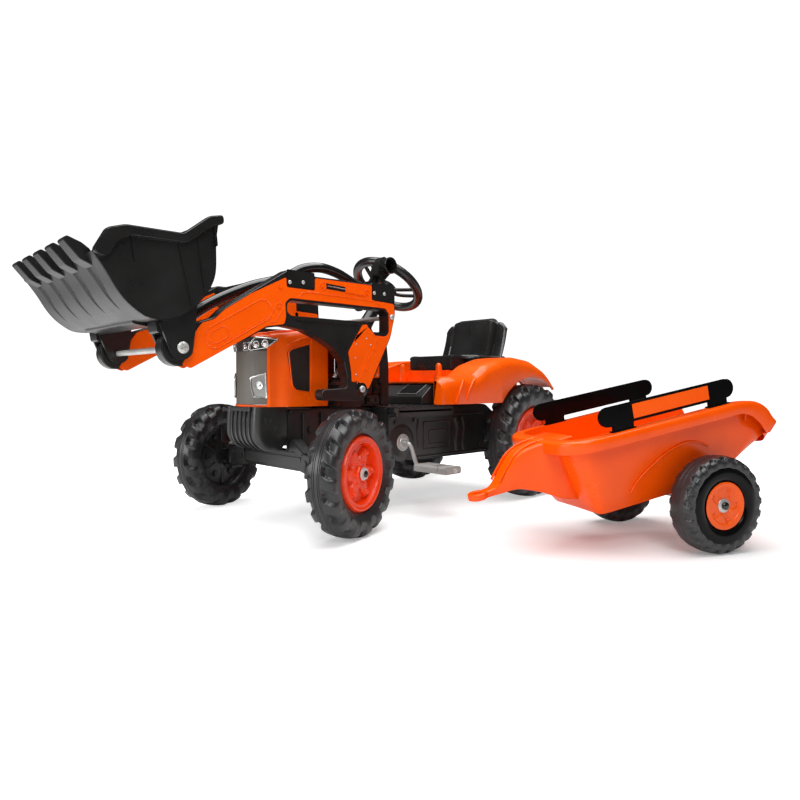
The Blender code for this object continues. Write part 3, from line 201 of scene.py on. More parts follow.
def slab(outline, low, high, bevel=0.0012, axis="X", steps=2):
    """Outline extruded between two planes, with bevelled cap edges."""
    spot = {"X": lambda a, b, c: (c, a, b),
            "Y": lambda a, b, c: (a, c, b),
            "Z": lambda a, b, c: (a, b, c)}[axis]
    shape = grid([[spot(a, b, c) for a, b in outline] for c in (low, high)], False, True)
    shape.verts.ensure_lookup_table()
    count = len(outline)
    caps(shape, shape.verts[:count], shape.verts[count:])
    bmesh.ops.recalc_face_normals(shape, faces=shape.faces)
    if bevel:
        rims = [edge for edge in shape.edges if any(len(face.verts) == count for face in edge.link_faces)]
        bmesh.ops.bevel(shape, geom=rims, offset=bevel, segments=steps, affect="EDGES", clamp_overlap=True)
    return shape


def sheet(points, radius, *rest, **more):
    """Slab from an outline whose corners are rounded."""
    return slab(rounded(points, radius), *rest, **more)


def brick(low, high, bevel=0.002, corner=0.004, axis="Z"):
    """Box with rounded upright corners and bevelled rims."""
    a, b, c = {"X": (1, 2, 0), "Y": (0, 2, 1), "Z": (0, 1, 2)}[axis]
    outline = [(low[a], low[b]), (high[a], low[b]), (high[a], high[b]), (low[a], high[b])]
    return slab(rounded(outline, corner, 4), low[c], high[c], bevel, axis)


def disc(centre, radius, low, high, bevel=0.0006, axis="X", segments=24):
    """Round plate between two planes."""
    turns = [2 * pi * i / segments for i in range(segments)]
    outline = [(centre[0] + radius * cos(turn), centre[1] + radius * sin(turn)) for turn in turns]
    return slab(outline, low, high, bevel, axis)


def curve(points, steps=6, closed=False):
    """Catmull-Rom curve through points of any size."""
    path = [Vector(point) for point in points]
    if closed:
        ends = [path[-1]] + path + [path[0], path[1]]
    else:
        ends = [path[0] * 2.0 - path[1]] + path + [path[-1] * 2.0 - path[-2]]
    line = []
    for index in range(1, len(ends) - 2):
        p0, p1, p2, p3 = ends[index - 1:index + 3]
        for step in range(steps):
            t = step / steps
            line.append(0.5 * (2.0 * p1 + (p2 - p0) * t + (2.0 * p0 - 5.0 * p1 + 4.0 * p2 - p3) * t * t
                + (3.0 * p1 - p0 - 3.0 * p2 + p3) * t ** 3))
    return line if closed else line + [path[-1]]


def tube(points, radius, sides=12, closed=False, flat=1.0):
    """Round bar along a path; flat squashes it across its second direction."""
    path = [Vector(point) for point in points]
    count = len(path)
    start = (path[1] - path[0]).normalized()
    side = Vector((1, 0, 0)) if abs(start.x) < 0.9 else Vector((0, 1, 0))
    rows = []
    for index, point in enumerate(path):
        before = path[index - 1] if closed or index else point
        after = path[(index + 1) % count] if closed or index < count - 1 else point
        along = (after - before).normalized()
        side = (side - along * side.dot(along)).normalized()
        other = along.cross(side)
        size = radius[index] if isinstance(radius, list) else radius
        turns = [2 * pi * k / sides for k in range(sides)]
        rows.append([point + (side * cos(turn) + other * (flat * sin(turn))) * size for turn in turns])
    shape = grid(rows, closed, True)
    if not closed:
        capped(shape, sides)
    return shape


def joined(*shapes):
    """Several bmeshes as one, left touching."""
    whole = shapes[0]
    for other in shapes[1:]:
        mesh = bpy.data.meshes.new("step")
        other.to_mesh(mesh)
        other.free()
        whole.from_mesh(mesh)
        bpy.data.meshes.remove(mesh)
    return whole


def carved(base, *tools):
    """Base with tools cut out of it."""
    holders = []
    for shape in (base,) + tools:
        bmesh.ops.recalc_face_normals(shape, faces=shape.faces)
        mesh = bpy.data.meshes.new("step")
        shape.to_mesh(mesh)
        shape.free()
        holder = bpy.data.objects.new("step", mesh)
        bpy.context.collection.objects.link(holder)
        holders.append(holder)
    for other in holders[1:]:
        modifier = holders[0].modifiers.new("cut", "BOOLEAN")
        modifier.operation = "DIFFERENCE"
        modifier.solver = "EXACT"
        modifier.object = other
    result = bmesh.new()
    result.from_object(holders[0], bpy.context.evaluated_depsgraph_get())
    for holder in holders:
        mesh = holder.data
        bpy.data.objects.remove(holder)
        bpy.data.meshes.remove(mesh)
    return result


def moved(shape, matrix):
    bmesh.ops.transform(shape, matrix=matrix, verts=shape.verts)
    return shape


def at(x, y, z):
    return Matrix.Translation((x, y, z))


def spun(degrees, axis):
    return Matrix.Rotation(radians(degrees), 4, axis)


def flipped(shape, side):
    """The shape itself on the left, its mirror image on the right."""
    return shape if side > 0 else moved(shape, MIRROR)


def step_up(low, high, value):
    """Smooth change from 0 at low to 1 at high."""
    t = max(0.0, min(1.0, (value - low) / (high - low)))
    return t * t * (3.0 - 2.0 * t)


def screw(x, centre, radius, height=0.003):
    """Domed head facing out along X, with a cross recess cut only when its radius is 4 mm or more."""
    head = turned([(x, 0.0001), (x, radius), (x + height * 0.5, radius), (x + height * 0.85, radius * 0.8),
        (x + height, radius * 0.4), (x + height, 0.0001)], 20)
    moved(head, at(0, centre[0], centre[1]))
    slots = []
    for angle in (25.0, 115.0):
        slot = brick((x + height * 0.45, -radius * 0.55, -radius * 0.13),
            (x + height * 2, radius * 0.55, radius * 0.13), 0.0, 0.0002)
        moved(slot, at(0, centre[0], centre[1]) @ spun(angle, "X"))
        slots.append(slot)
    return head if radius < 0.004 else carved(head, *slots)


# ---------------------------------------------------------------- wheels
def tyre_shape(radius, half, bead, lugs, depth, band):
    """Blow-moulded tyre: high bars and band, with arched pockets open at the shoulders."""
    marks = [0.0, 0.09, 0.115, 0.14, 0.21, 0.235, 0.26]
    across = marks + [band + (0.96 - band) * i / 12.0 for i in range(13)]
    walls = [(0.975, 0.915), (0.99, 0.895), (1.0, 0.86), (0.985, 0.82), (0.955, 0.77), (0.9, 0.72),
        (0.8, bead + 0.05), (0.74, bead + 0.03), (0.66, bead), (0.5, bead - 0.01)]

    def crown(t):
        return 1.0 - 0.035 * t ** 2 - 0.06 * t ** 8

    half_line = [(t, crown(t)) for t in across] + walls
    profile = [(-t, r) for t, r in reversed(half_line[1:])] + half_line
    segments = lugs * 20
    rows = []
    for step in range(segments):
        angle = 2.0 * pi * step / segments
        row = []
        for t, r in profile:
            side = 1.0 if t >= 0 else -1.0
            reach = abs(t)
            turn = (angle / (2.0 * pi) * lugs + (0.5 if side < 0 else 0.0)
                - 0.35 * (reach - 0.3)) % 1.0
            within = step_up(0.0, 0.07, 0.285 - abs(turn - 0.5))
            arch = band + 0.1 * (abs(turn - 0.5) / 0.27) ** 2
            pocket = within * step_up(arch, arch + 0.05, reach) * step_up(0.73, 0.8, r)
            groove = 1.0 if any(abs(reach - mark) < 0.004 for mark in (0.115, 0.235)) else 0.0
            drop = depth * pocket + 0.01 * groove
            shoulder = step_up(0.96, 1.0, reach) * depth * 0.4 * pocket
            row.append((t * half * (1.0 - shoulder), radius * (r - drop) * cos(angle),
                radius * (r - drop) * sin(angle)))
        rows.append(row)
    return grid(rows, True, False)


def web_shape(radius, half, bead, side_face):
    """Dark dish that closes a wheel's inner side."""
    profile = [(-half * 0.5, radius * (bead - 0.01)), (-half * 0.3, radius * bead * 0.96),
        (-half * 0.22, radius * bead * 0.86), (-half * 0.3, radius * bead * 0.7),
        (-half * 0.34, radius * bead * 0.45), (-half * 0.46, radius * bead * 0.4), (-half * 0.5, 0.016),
        (-half * 0.5, 0.0075), (side_face, 0.0075), (side_face, radius * (bead - 0.01)),
        (half * 0.5, radius * (bead - 0.01))]
    return turned(profile, 48, False)


def disc_shape(radius, face, lobes, plain):
    """Embossed wheel disc as one height field."""
    rings, segments = 46, 30 * lobes
    rows = []
    for step in range(segments):
        angle = 2.0 * pi * step / segments
        row = []
        for ring in range(rings + 1):
            u = 0.088 + (1.0 - 0.088) * ring / rings
            turn = ((angle / (2.0 * pi) * lobes + 0.5) % 1.0 - 0.5) * 2.0 * pi / lobes
            x, y = u * cos(turn), u * sin(turn)
            rim = step_up(0.74, 0.8, u) * 0.85 + step_up(0.86, 0.9, u) * 0.15 - step_up(0.965, 1.0, u) * 0.35
            arm = step_up(0.0, 0.05, 0.19 - abs(y) - 0.06 * step_up(0.4, 0.7, x))
            arm *= step_up(0.0, 0.04, 0.75 - u)
            lobe = max(arm, step_up(0.0, 0.05, 0.4 - u))
            height = max(rim, 0.42 * lobe)
            for bx, by, size, lift in ((0.6, 0.0, 0.085, 0.26), (0.31, 0.0, 0.06, 0.2)):
                height += lift * step_up(0.0, 0.035, size - hypot(x - bx, y - by))
            height += 0.3 * step_up(0.0, 0.04, 0.2 - u)
            if plain:
                height = 0.7 + 0.11 * (rim - 0.8 * lobe) + 0.1 * step_up(0.0, 0.03, 0.05 - hypot(x - 0.62, y))
            row.append((face * (0.28 + 0.72 * height) if not plain else face * height,
                radius * u * cos(angle), radius * u * sin(angle)))
        rows.append(row)
    return grid(rows, True, False)


def wheel(name, side, radius, width, bead, where, body, lugs, depth, face):
    """Tyre with its web, the disc, and a glossy wall (trailer) or ribs behind the disc (the others); washer
    and axle cap come from hub_cap.
    """
    half = width / 2.0
    tag = "%s_%s" % (name, label(side))
    small = name == "trailer"
    tyre = tyre_shape(radius, half, bead, lugs, depth, 0.3 if not small else 0.62)
    web = web_shape(radius, half, bead, half * 0.1)
    piece(tag + "_tread", joined(tyre, web), TYRE, body, where, 50.0, ("%s_tyre_%s" % (name, label(side)),),
        side)
    plate = disc_shape(radius * (bead - 0.005), face, 6 if not small else 5, small)
    moved(plate, at(half * 0.12, 0, 0))
    piece(tag + "_plate", plate, DISC_RED if not small else DISC_ORANGE, body, where, 40.0,
        ("%s_disc_%s" % (name, label(side)),), side)
    if small:
        wall = turned([(half * 0.7, radius * 0.5), (half * 0.86, radius * 0.505),
            (half * 0.98, radius * 0.56), (half * 1.0, radius * 0.66), (half * 0.97, radius * 0.77),
            (half * 0.88, radius * 0.815), (half * 0.7, radius * 0.8)], 72)
        piece(tag + "_wall", wall, WALL, body, where, 60.0, side=side)
    else:
        spokes = []
        for k in range(6):
            rib = brick((-half * 0.4, -0.004, radius * 0.2), (-half * 0.18, 0.004, radius * 0.56), 0.002,
                0.003)
            spokes.append(moved(rib, spun(60 * k, "X")))
            knob = turned([(-half * 0.42, 0.0001), (-half * 0.42, 0.006), (-half * 0.2, 0.008),
                (-half * 0.2, 0.0001)], 16)
            moved(knob, at(0, 0, radius * 0.4))
            spokes.append(moved(knob, spun(60 * k + 30, "X")))
        piece(tag + "_ribs", joined(*spokes), BLACK, body, where, side=side)


def hub_cap(tag, side, where, body, x):
    """Washer, ring and black cap on the end of an axle."""
    ring = turned([(x, 0.0062), (x, 0.0115), (x + 0.0012, 0.012), (x + 0.0026, 0.0105), (x + 0.003, 0.0062)],
        28)
    piece(tag + "_washer", ring, ZINC, body, where, side=side)
    cap = turned([(x + 0.001, 0.0002), (x + 0.001, 0.0068), (x + 0.006, 0.0066), (x + 0.0078, 0.005),
        (x + 0.0085, 0.0025), (x + 0.0086, 0.0002)], 24)
    piece(tag + "_cap", cap, SHINY, body, where, side=side)


def wheels():
    for side in (1, -1):
        hub = TRACTOR @ at(side * KINGPIN, 0, 0.12) @ Matrix.Rotation(STEER, 4, "Z") \
            @ at(side * WHEEL_OUT, 0, 0)
        wheel("front", side, 0.12, 0.0623, 0.6, hub, "front_wheel_" + label(side), 16, 0.072, 0.022)
        hub_cap("front_%s" % label(side), side, hub, "knuckle_" + label(side), 0.0235)
        hub = TRACTOR @ at(side * 0.206, 0.616, 0.143)
        wheel("rear", side, 0.143, 0.076, 0.6, hub, "rear_axle", 18, 0.066, 0.025)
        hub_cap("rear_%s" % label(side), side, hub, "rear_axle", 0.0265)
        hub = TRAILER @ at(side * 0.13, 0, 0)
        wheel("trailer", side, 0.083, 0.0466, 0.49, hub, "trailer_wheel_" + label(side), 22, 0.05, 0.0235)
        hub_cap("trailer_%s" % label(side), side, hub, "trailer_axle", 0.0165)


# ---------------------------------------------------------------- loader
TIP = (-0.285, 0.345)
ARM_FACE = 0.1499                           # X of the relief on the arms


def arc(centre, radius, start, end, steps=8):
    return [(centre[0] + radius * cos(radians(start + (end - start) * i / steps)),
        centre[1] + radius * sin(radians(start + (end - start) * i / steps))) for i in range(steps + 1)]


def ridge(points, x, radius=0.0011, closed=False):
    """Raised line on a plate that faces along X."""
    return tube([(x, y, z) for y, z in points], radius, 8, closed, 0.9)


def stadium(a, b, radius, steps=8):
    """Outline round two points."""
    lean = atan2(b[1] - a[1], b[0] - a[0]) * 180.0 / pi
    return arc(b, radius, lean - 90, lean + 90, steps) + arc(a, radius, lean + 90, lean + 270, steps)


def arms():
    core = arc(TIP, 0.03, 115, 285) + [(-0.162, 0.365), (-0.121, 0.388), (-0.083, 0.394), (-0.038, 0.389),
        (0.003, 0.374), (0.036, 0.356), (0.06, 0.331), (0.069, 0.3), (0.067, 0.279), (0.008, 0.276),
        (0.003, 0.266), (0.008, 0.254), (0.092, 0.251), (0.112, 0.254), (0.124, 0.267), (0.19, 0.388),
        (0.203, 0.436), (0.2, 0.4985), (0.135, 0.4985), (0.133, 0.4955), (-0.012, 0.4935), (-0.016, 0.4995),
        (-0.072, 0.4995), (-0.152, 0.45), (-0.204, 0.417), (-0.222, 0.4), (-0.27, 0.384)]
    window = [(-0.07, 0.442), (-0.076, 0.434), (-0.076, 0.421), (-0.068, 0.414), (0.126, 0.415),
        (0.139, 0.393), (0.172, 0.392), (0.178, 0.399), (0.178, 0.434), (0.17, 0.443)]
    face = [(-0.281, 0.3185), (-0.266, 0.312), (-0.162, 0.368), (-0.121, 0.391), (-0.083, 0.397),
        (-0.079, 0.41), (-0.0805, 0.437), (-0.07, 0.4465), (0.172, 0.4475), (0.1825, 0.437), (0.1825, 0.396),
        (0.173, 0.3875), (0.139, 0.3885), (0.128, 0.396), (0.12, 0.4105), (0.108, 0.408), (0.07, 0.351),
        (0.078, 0.311), (0.079, 0.29), (0.095, 0.293), (0.113, 0.276), (0.1245, 0.277), (0.187, 0.389),
        (0.1995, 0.436), (0.197, 0.459), (0.134, 0.461), (0.1335, 0.492), (-0.012, 0.49), (-0.013, 0.466),
        (-0.077, 0.466), (-0.078, 0.484), (-0.152, 0.4465), (-0.204, 0.4135), (-0.222, 0.3965),
        (-0.245, 0.389), (-0.258, 0.372), (-0.2625, 0.345)]
    gusset = [(-0.066, 0.407), (0.098, 0.407), (0.06, 0.35), (0.03, 0.372), (-0.02, 0.396)]
    for side in (1, -1):
        tag = "arm_" + label(side)
        body = carved(sheet(core, 0.006, 0.1232, 0.1488, 0.0018, steps=3),
            sheet(window, 0.005, 0.11, 0.16, 0.0), sheet(gusset, 0.006, 0.1465, 0.16, 0.0),
            disc(LIFT, 0.0062, 0.1, 0.2, 0.0), disc(TIP, 0.0062, 0.1, 0.2, 0.0),
            disc(CROSS_ROD, 0.0056, 0.1, 0.2, 0.0), disc(LEVER_PIVOT, 0.0048, 0.11, 0.139, 0.0))
        piece(tag + "_core", body, BLACK, "loader", instead=("arm_" + label(side),), side=side)
        for low, high, end in ((0.1484, 0.15, "outer"), (0.122, 0.1236, "inner")):
            plate = carved(sheet(face, 0.004, low, high, 0.0005), disc(CROSS_ROD, 0.0058, 0.1, 0.2, 0.0),
                disc(LEVER_PIVOT, 0.005, 0.11, 0.139, 0.0))
            piece("%s_%s_face" % (tag, end), plate, ORANGE, "loader", side=side)
        lines = [ridge(stadium((-0.222, 0.366), (-0.128, 0.42), 0.0185), ARM_FACE, 0.0016, True),
            ridge(stadium((-0.221, 0.3665), (-0.206, 0.375), 0.0105), ARM_FACE, 0.0014, True),
            ridge([(-0.228, 0.345), (-0.12, 0.407), (-0.106, 0.418)], ARM_FACE, 0.0008),
            ridge(stadium((-0.108, 0.4065), (-0.093, 0.4275), 0.0075), ARM_FACE, 0.0014, True),
            ridge([(-0.098, 0.47), (-0.098, 0.438)], ARM_FACE, 0.0009),
            ridge([(-0.052, 0.4495), (-0.042, 0.459), (-0.028, 0.462), (0.14, 0.46), (0.157, 0.452)],
            ARM_FACE, 0.0015), ridge([(0.108, 0.396), (0.16, 0.3835), (0.172, 0.388)], ARM_FACE, 0.0008),
            ridge([(0.092, 0.287), (0.146, 0.377)], ARM_FACE, 0.0009),
            ridge([(0.087, 0.29), (0.141, 0.38)], ARM_FACE, 0.0007), ridge(
            stadium((0.006, 0.477), (0.0061, 0.477), 0.0072), 0.1502, 0.0012, True),
            ridge(stadium((0.119, 0.474), (0.1191, 0.474), 0.0072), 0.1502, 0.0012, True)]
        for centre, size in (((-0.094, 0.4285), 0.0042), ((-0.09, 0.466), 0.005), ((0.006, 0.477), 0.0042),
                ((0.119, 0.474), 0.0042), ((0.14, 0.36), 0.0032), ((0.118, 0.317), 0.0032)):
            lines.append(disc(centre, size, 0.1495, 0.1516, 0.0008))
        lines.append(sheet([(0.062, 0.4695), (0.114, 0.467), (0.114, 0.48), (0.062, 0.4825)], 0.003, 0.1494,
            0.152, 0.0012))
        lines.append(sheet([(0.092, 0.387), (0.152, 0.372), (0.17, 0.384), (0.145, 0.387), (0.12, 0.407),
            (0.108, 0.405), (0.085, 0.37)], 0.004, 0.1494, 0.1503, 0.0006))
        piece(tag + "_relief", joined(*lines), ORANGE, "loader", side=side)
        piece(tag + "_slot", sheet([(0.012, 0.4725), (0.062, 0.4705), (0.062, 0.481), (0.012, 0.483)], 0.003,
            0.149, 0.1506, 0.0004), BLACK, "loader", side=side)
        piece(tag + "_ram", tube([(0.1506, 0.016, 0.478), (0.1506, 0.06, 0.4762)], 0.003, 14, flat=0.35),
            SILVER, "loader", side=side)
        blocks = [brick((0.148, -0.0765, 0.468), (0.1508, -0.014, 0.4992), 0.0006, 0.0025, "X"),
            brick((0.148, 0.135, 0.4625), (0.1508, 0.199, 0.4985), 0.0006, 0.0025, "X")]
        piece(tag + "_blocks", joined(*blocks), BLACK, "loader", side=side)
        boss = turned([(0.1486, 0.006), (0.1486, 0.015), (0.1496, 0.0148), (0.1502, 0.013), (0.1502, 0.006)],
            32)
        piece(tag + "_boss", moved(boss, at(0, 0.106, 0.276)), SHINY, "loader", side=side)
        bolts = [screw(0.1506, c, 0.0036, 0.0022) for c in ((-0.071, 0.4755), (-0.041, 0.4785),
            (0.1395, 0.4765), (0.168, 0.4775))]
        bolts += [screw(ARM_FACE, c, 0.0017, 0.0012) for c in ((0.092, 0.368), (0.118, 0.381), (0.088, 0.34),
            (0.13, 0.368), (0.09, 0.306))]
        piece(tag + "_screws", joined(*bolts), ZINC, "loader", side=side)


def bucket():
    floor = curve([(-0.4265, 0.477), (-0.409, 0.4525), (-0.388, 0.4195), (-0.366, 0.3985), (-0.34, 0.3865),
        (-0.301, 0.391), (-0.2625, 0.419), (-0.2365, 0.462), (-0.2335, 0.52), (-0.2285, 0.556)], 8)
    total = [0.0]
    for a, b in zip(floor, floor[1:]):
        total.append(total[-1] + (b - a).length)
    wall = 0.1785
    columns = 220
    outer, inner = [], []
    for index, point in enumerate(floor):
        after = floor[min(index + 1, len(floor) - 1)]
        before = floor[max(index - 1, 0)]
        along = (after - before).normalized()
        inward = Vector((-along.y, along.x))
        if inward.y < -0.2:
            inward = -inward
        low, high = [], []
        for k in range(columns + 1):
            x = -wall + 2.0 * wall * k / columns
            near = min(abs(x - (j - 2) * 0.065) for j in range(5))
            reach = 0.0165 * max(0.0, 1.0 - total[index] / 0.098)
            groove = step_up(0.0, 0.0028, reach - near) if reach > 0 else 0.0
            shift = 0.003 * groove
            low.append((x, point.x + inward.x * shift, point.y + inward.y * shift))
            high.append((x, point.x + inward.x * 0.0062, point.y + inward.y * 0.0062))
        outer.append(low)
        inner.append(high)
    shell = grid(outer + inner[::-1], True, False)
    piece("bucket_shell", shell, BLACK, "bucket", angle=50.0, instead=("bucket",))
    cheek = [(p.x, p.y) for p in floor] + [(-0.249, 0.5565), (-0.293, 0.5215), (-0.382, 0.5195),
        (-0.408, 0.5115)]
    band = [(-0.4285, 0.4775), (-0.409, 0.5125), (-0.382, 0.5215), (-0.293, 0.5232), (-0.249, 0.558),
        (-0.224, 0.564), (-0.2225, 0.55), (-0.243, 0.542), (-0.287, 0.508), (-0.374, 0.506), (-0.392, 0.496),
        (-0.406, 0.472), (-0.416, 0.469)]
    ear = [(-0.322, 0.384)] + arc(TIP, 0.0195, 200, 340) + [(-0.262, 0.372), (-0.258, 0.4195), (-0.3, 0.396)]
    for side in (1, -1):
        tag = "bucket_" + label(side)
        solids = [slab(cheek, 0.174, 0.179, 0.0008), sheet(band, 0.006, 0.177, 0.1868, 0.0018, steps=3),
            slab([(y, z) for y, z in ((-0.3, 0.5075), (-0.2975, 0.5075), (-0.276, 0.415), (-0.279, 0.413))],
            0.178, 0.1812, 0.0004), slab([(-0.268, 0.52), (-0.2655, 0.52), (-0.253, 0.437), (-0.256, 0.433)],
            0.178, 0.1812, 0.0004), slab([(-0.373, 0.508), (-0.369, 0.508), (-0.364, 0.472), (-0.368, 0.47)],
            0.178, 0.1816, 0.0004), slab([(-0.24, 0.548), (-0.2365, 0.55), (-0.233, 0.513), (-0.237, 0.51)],
            0.17, 0.1835, 0.0006)]
        piece(tag + "_cheek", joined(*solids), BLACK, "bucket", side=side)
        for low, name in ((0.153, "outer"), (0.111, "inner")):
            plate = carved(sheet(ear, 0.005, low, low + 0.008, 0.0015), disc(TIP, 0.0061, 0.1, 0.2, 0.0))
            rib = tube([(low + 0.004, -0.304, 0.388), (low + 0.004, -0.3, 0.352)], 0.0042, 10)
            piece("%s_%s_ear" % (tag, name), joined(plate, rib), BLACK, "bucket", side=side)
        brace = sheet([(-0.325, 0.386), (-0.322, 0.368), (-0.306, 0.366), (-0.3, 0.392)], 0.003, 0.1185,
            0.1535, 0.001)
        piece(tag + "_brace", brace, BLACK, "bucket", side=side)
    horn = sheet([(-0.29, 0.36), (-0.276, 0.352)] + arc((-0.26, 0.3883), 0.0115, -60, 60)
        + [(-0.262, 0.4185), (-0.292, 0.398)], 0.003, 0.1112, 0.1188, 0.001)
    piece("bucket_horn", horn, BLACK, "bucket")
    tie = sheet([(-0.347, 0.391), (-0.344, 0.3835), (-0.315, 0.379), (-0.3, 0.3935)], 0.002, -0.111, 0.111,
        0.001)
    piece("bucket_tie", tie, BLACK, "bucket")
    teeth = []
    for index in range(5):
        x = (index - 2) * 0.065
        side_view = rounded([(-0.412, 0.46), (-0.418, 0.485), (-0.43, 0.4935), (-0.45, 0.5015),
            (-0.4555, 0.495), (-0.433, 0.469)], 0.003, 4)
        tooth = slab(side_view, x - 0.0165, x + 0.0165, 0.0022, steps=3)
        for vertex in tooth.verts:
            lean = step_up(-0.425, -0.456, vertex.co.y)
            vertex.co.x = x + (vertex.co.x - x) * (1.0 - 0.16 * lean)
        teeth.append(tooth)
        teeth.append(slab(rounded([(-0.4165, 0.479), (-0.405, 0.4665), (-0.401, 0.47), (-0.413, 0.4845)],
            0.001, 3), x - 0.011, x + 0.011, 0.0008))
    piece("bucket_teeth", joined(*teeth), BLACK, "bucket")


def linkage():
    far = (0.16, 0.497)
    x = 0.09
    route = curve([(x, -0.26, 0.3883), (x, -0.2, 0.43), (x, -0.12, 0.468), (x, -0.045, 0.492),
        (x, 0.0, 0.516), (x, 0.045, 0.525), (x, 0.09, 0.519), (x, 0.13, 0.505), (x, far[0], far[1])], 8)
    bar = joined(tube(route, 0.0103, 20), disc(far, 0.0125, 0.0797, 0.1003, 0.001),
        disc((-0.26, 0.3883), 0.0105, 0.0797, 0.1003, 0.001), disc((-0.26, 0.3883), 0.004, 0.099, 0.1185,
        0.0))
    piece("link_bar", bar, SHINY, "tilt_link", instead=("tilt_link",))
    pivot = Vector(LEVER_PIVOT)
    grip = pivot + Vector((0.064, 0.09))
    along = (grip - pivot).normalized()
    across = Vector((-along.y, along.x))
    outline = [tuple(pivot + across * 0.009 - along * 0.002), tuple(pivot - across * 0.009 - along * 0.002),
        tuple(grip - across * 0.0085), tuple(grip + across * 0.0085)]
    handle = joined(sheet(outline, 0.004, 0.1019, 0.1115, 0.0012),
        disc(tuple(pivot), 0.0118, 0.1019, 0.1115, 0.001), disc(tuple(pivot + Vector((0.025, 0.0433))),
        0.0115, 0.1019, 0.1115, 0.001), sheet([tuple(pivot + along * 0.03 + across * 0.003),
        tuple(pivot + along * 0.03 - across * 0.003), tuple(grip - along * 0.012 - across * 0.003),
        tuple(grip - along * 0.012 + across * 0.003)], 0.001, 0.111, 0.1142, 0.0006))
    piece("lever_bar", handle, BLACK, "tilt_lever", instead=("tilt_lever",))
    knob = turned([(0.0998, 0.0002), (0.0998, 0.0155), (0.101, 0.0173), (0.13, 0.0178), (0.1392, 0.0182),
        (0.1397, 0.0176), (0.1397, 0.0154), (0.1385, 0.015), (0.108, 0.0146), (0.108, 0.0002)], 40)
    moved(knob, at(0, grip.x, grip.y))
    block = [tuple(grip - across * 0.013 - along * 0.036), tuple(grip - across * 0.019 - along * 0.004),
        tuple(grip - across * 0.0185 + along * 0.012), tuple(grip + across * 0.0165 + along * 0.015),
        tuple(grip + across * 0.019 - along * 0.004), tuple(grip + across * 0.012 - along * 0.034)]
    shell = carved(sheet(block, 0.004, 0.099, 0.125, 0.0014), disc(tuple(grip), 0.016, 0.108, 0.2, 0.0),
        sheet([tuple(grip - across * 0.008 - along * 0.03), tuple(grip - across * 0.011 - along * 0.021),
        tuple(grip + across * 0.011 - along * 0.021), tuple(grip + across * 0.008 - along * 0.03)], 0.001,
        0.1225, 0.14, 0.0))
    piece("lever_grip", joined(knob, shell), BLACK, "tilt_lever")
    beam = carved(brick((-0.1213, -0.072, 0.4525), (0.1213, -0.035, 0.4935), 0.0015, 0.003, "X"),
        sheet([(0.077, 0.4625), (0.103, 0.4625), (0.103, 0.6), (0.077, 0.6)], 0.003, -0.1, 0.0, 0, "Y"))
    piece("cross_beam", beam, BLACK, "loader", instead=("front_cross_beam",))
    for centre, reach, name in ((TIP, 0.1625, "bucket_pin"), (LIFT, 0.1505, "lift_pin"),
            (CROSS_ROD, 0.1505, "rear_cross_rod")):
        ends = []
        for side in (1, -1):
            size = {"bucket_pin": 0.0096, "lift_pin": 0.007, "rear_cross_rod": 0.006}[name]
            head = screw(reach, centre, size, 0.0042)
            ends.append(flipped(head, side))
        rod = disc(centre, 0.0053 if name != "rear_cross_rod" else 0.0048, -reach, reach, 0.0)
        piece(name + "_rod", joined(rod, *ends), ZINC, "loader", instead=(name,))


# ---------------------------------------------------------------- steering
def steering():
    tilt = TRACTOR @ at(0, 0.319, 0.53) @ spun(-35.4, "X")
    ring = []
    for k in range(20):
        a = 2 * pi * k / 20
        ring.append((0.0112 * cos(a), 0.082 + 0.0112 * sin(a)))
    rim = moved(turned(ring, 96), spun(90, "Y"))
    solids = [rim]
    hub = [(-0.026, 0.0095), (-0.026, 0.017), (-0.012, 0.026), (-0.006, 0.027), (-0.0045, 0.025),
        (-0.0045, 0.018), (-0.006, 0.0165), (-0.006, 0.0001)]
    solids.append(moved(turned(hub, 40), spun(-90, "Y")))
    for angle in (28.0, 152.0, 270.0):
        for shift in (-0.0105, 0.0105):
            spoke = tube(curve([(0.018, shift * 0.7, -0.0145), (0.04, shift, -0.0125),
                (0.079, shift * 1.15, -0.002)], 4), 0.0046, 12)
            solids.append(moved(spoke, spun(angle, "Z")))
        foot = brick((0.014, -0.0135, -0.018), (0.03, 0.0135, -0.011), 0.002, 0.003)
        solids.append(moved(foot, spun(angle, "Z")))
    piece("wheel_rim", joined(*solids), BLACK, "steering", tilt, instead=("steering_wheel",))
    shaft = turned([(-0.285, 0.0001), (-0.285, 0.0085), (-0.03, 0.0085), (-0.03, 0.0001)], 24)
    piece("wheel_shaft", moved(shaft, spun(-90, "Y")), ZINC, "steering", tilt, instead=("steering_shaft",))
    sleeve = turned([(-0.15, 0.0098), (-0.15, 0.02), (-0.125, 0.0165), (-0.075, 0.014), (-0.05, 0.0135),
        (-0.05, 0.0098)], 32)
    piece("column_sleeve", moved(sleeve, spun(-90, "Y")), BLACK, "chassis", tilt)


# ---------------------------------------------------------------- front of the tractor
def nose(half, corner, bulge, steps=16):
    return [(half * (2 * i / steps - 1), corner - bulge * (1 - (2 * i / steps - 1) ** 2))
        for i in range(steps + 1)]


def face_at(x):
    """Y of the grille's face at a given X."""
    u = min(1.0, abs(x) / 0.0595)
    return -0.061 - 0.026 * (1 - u * u)


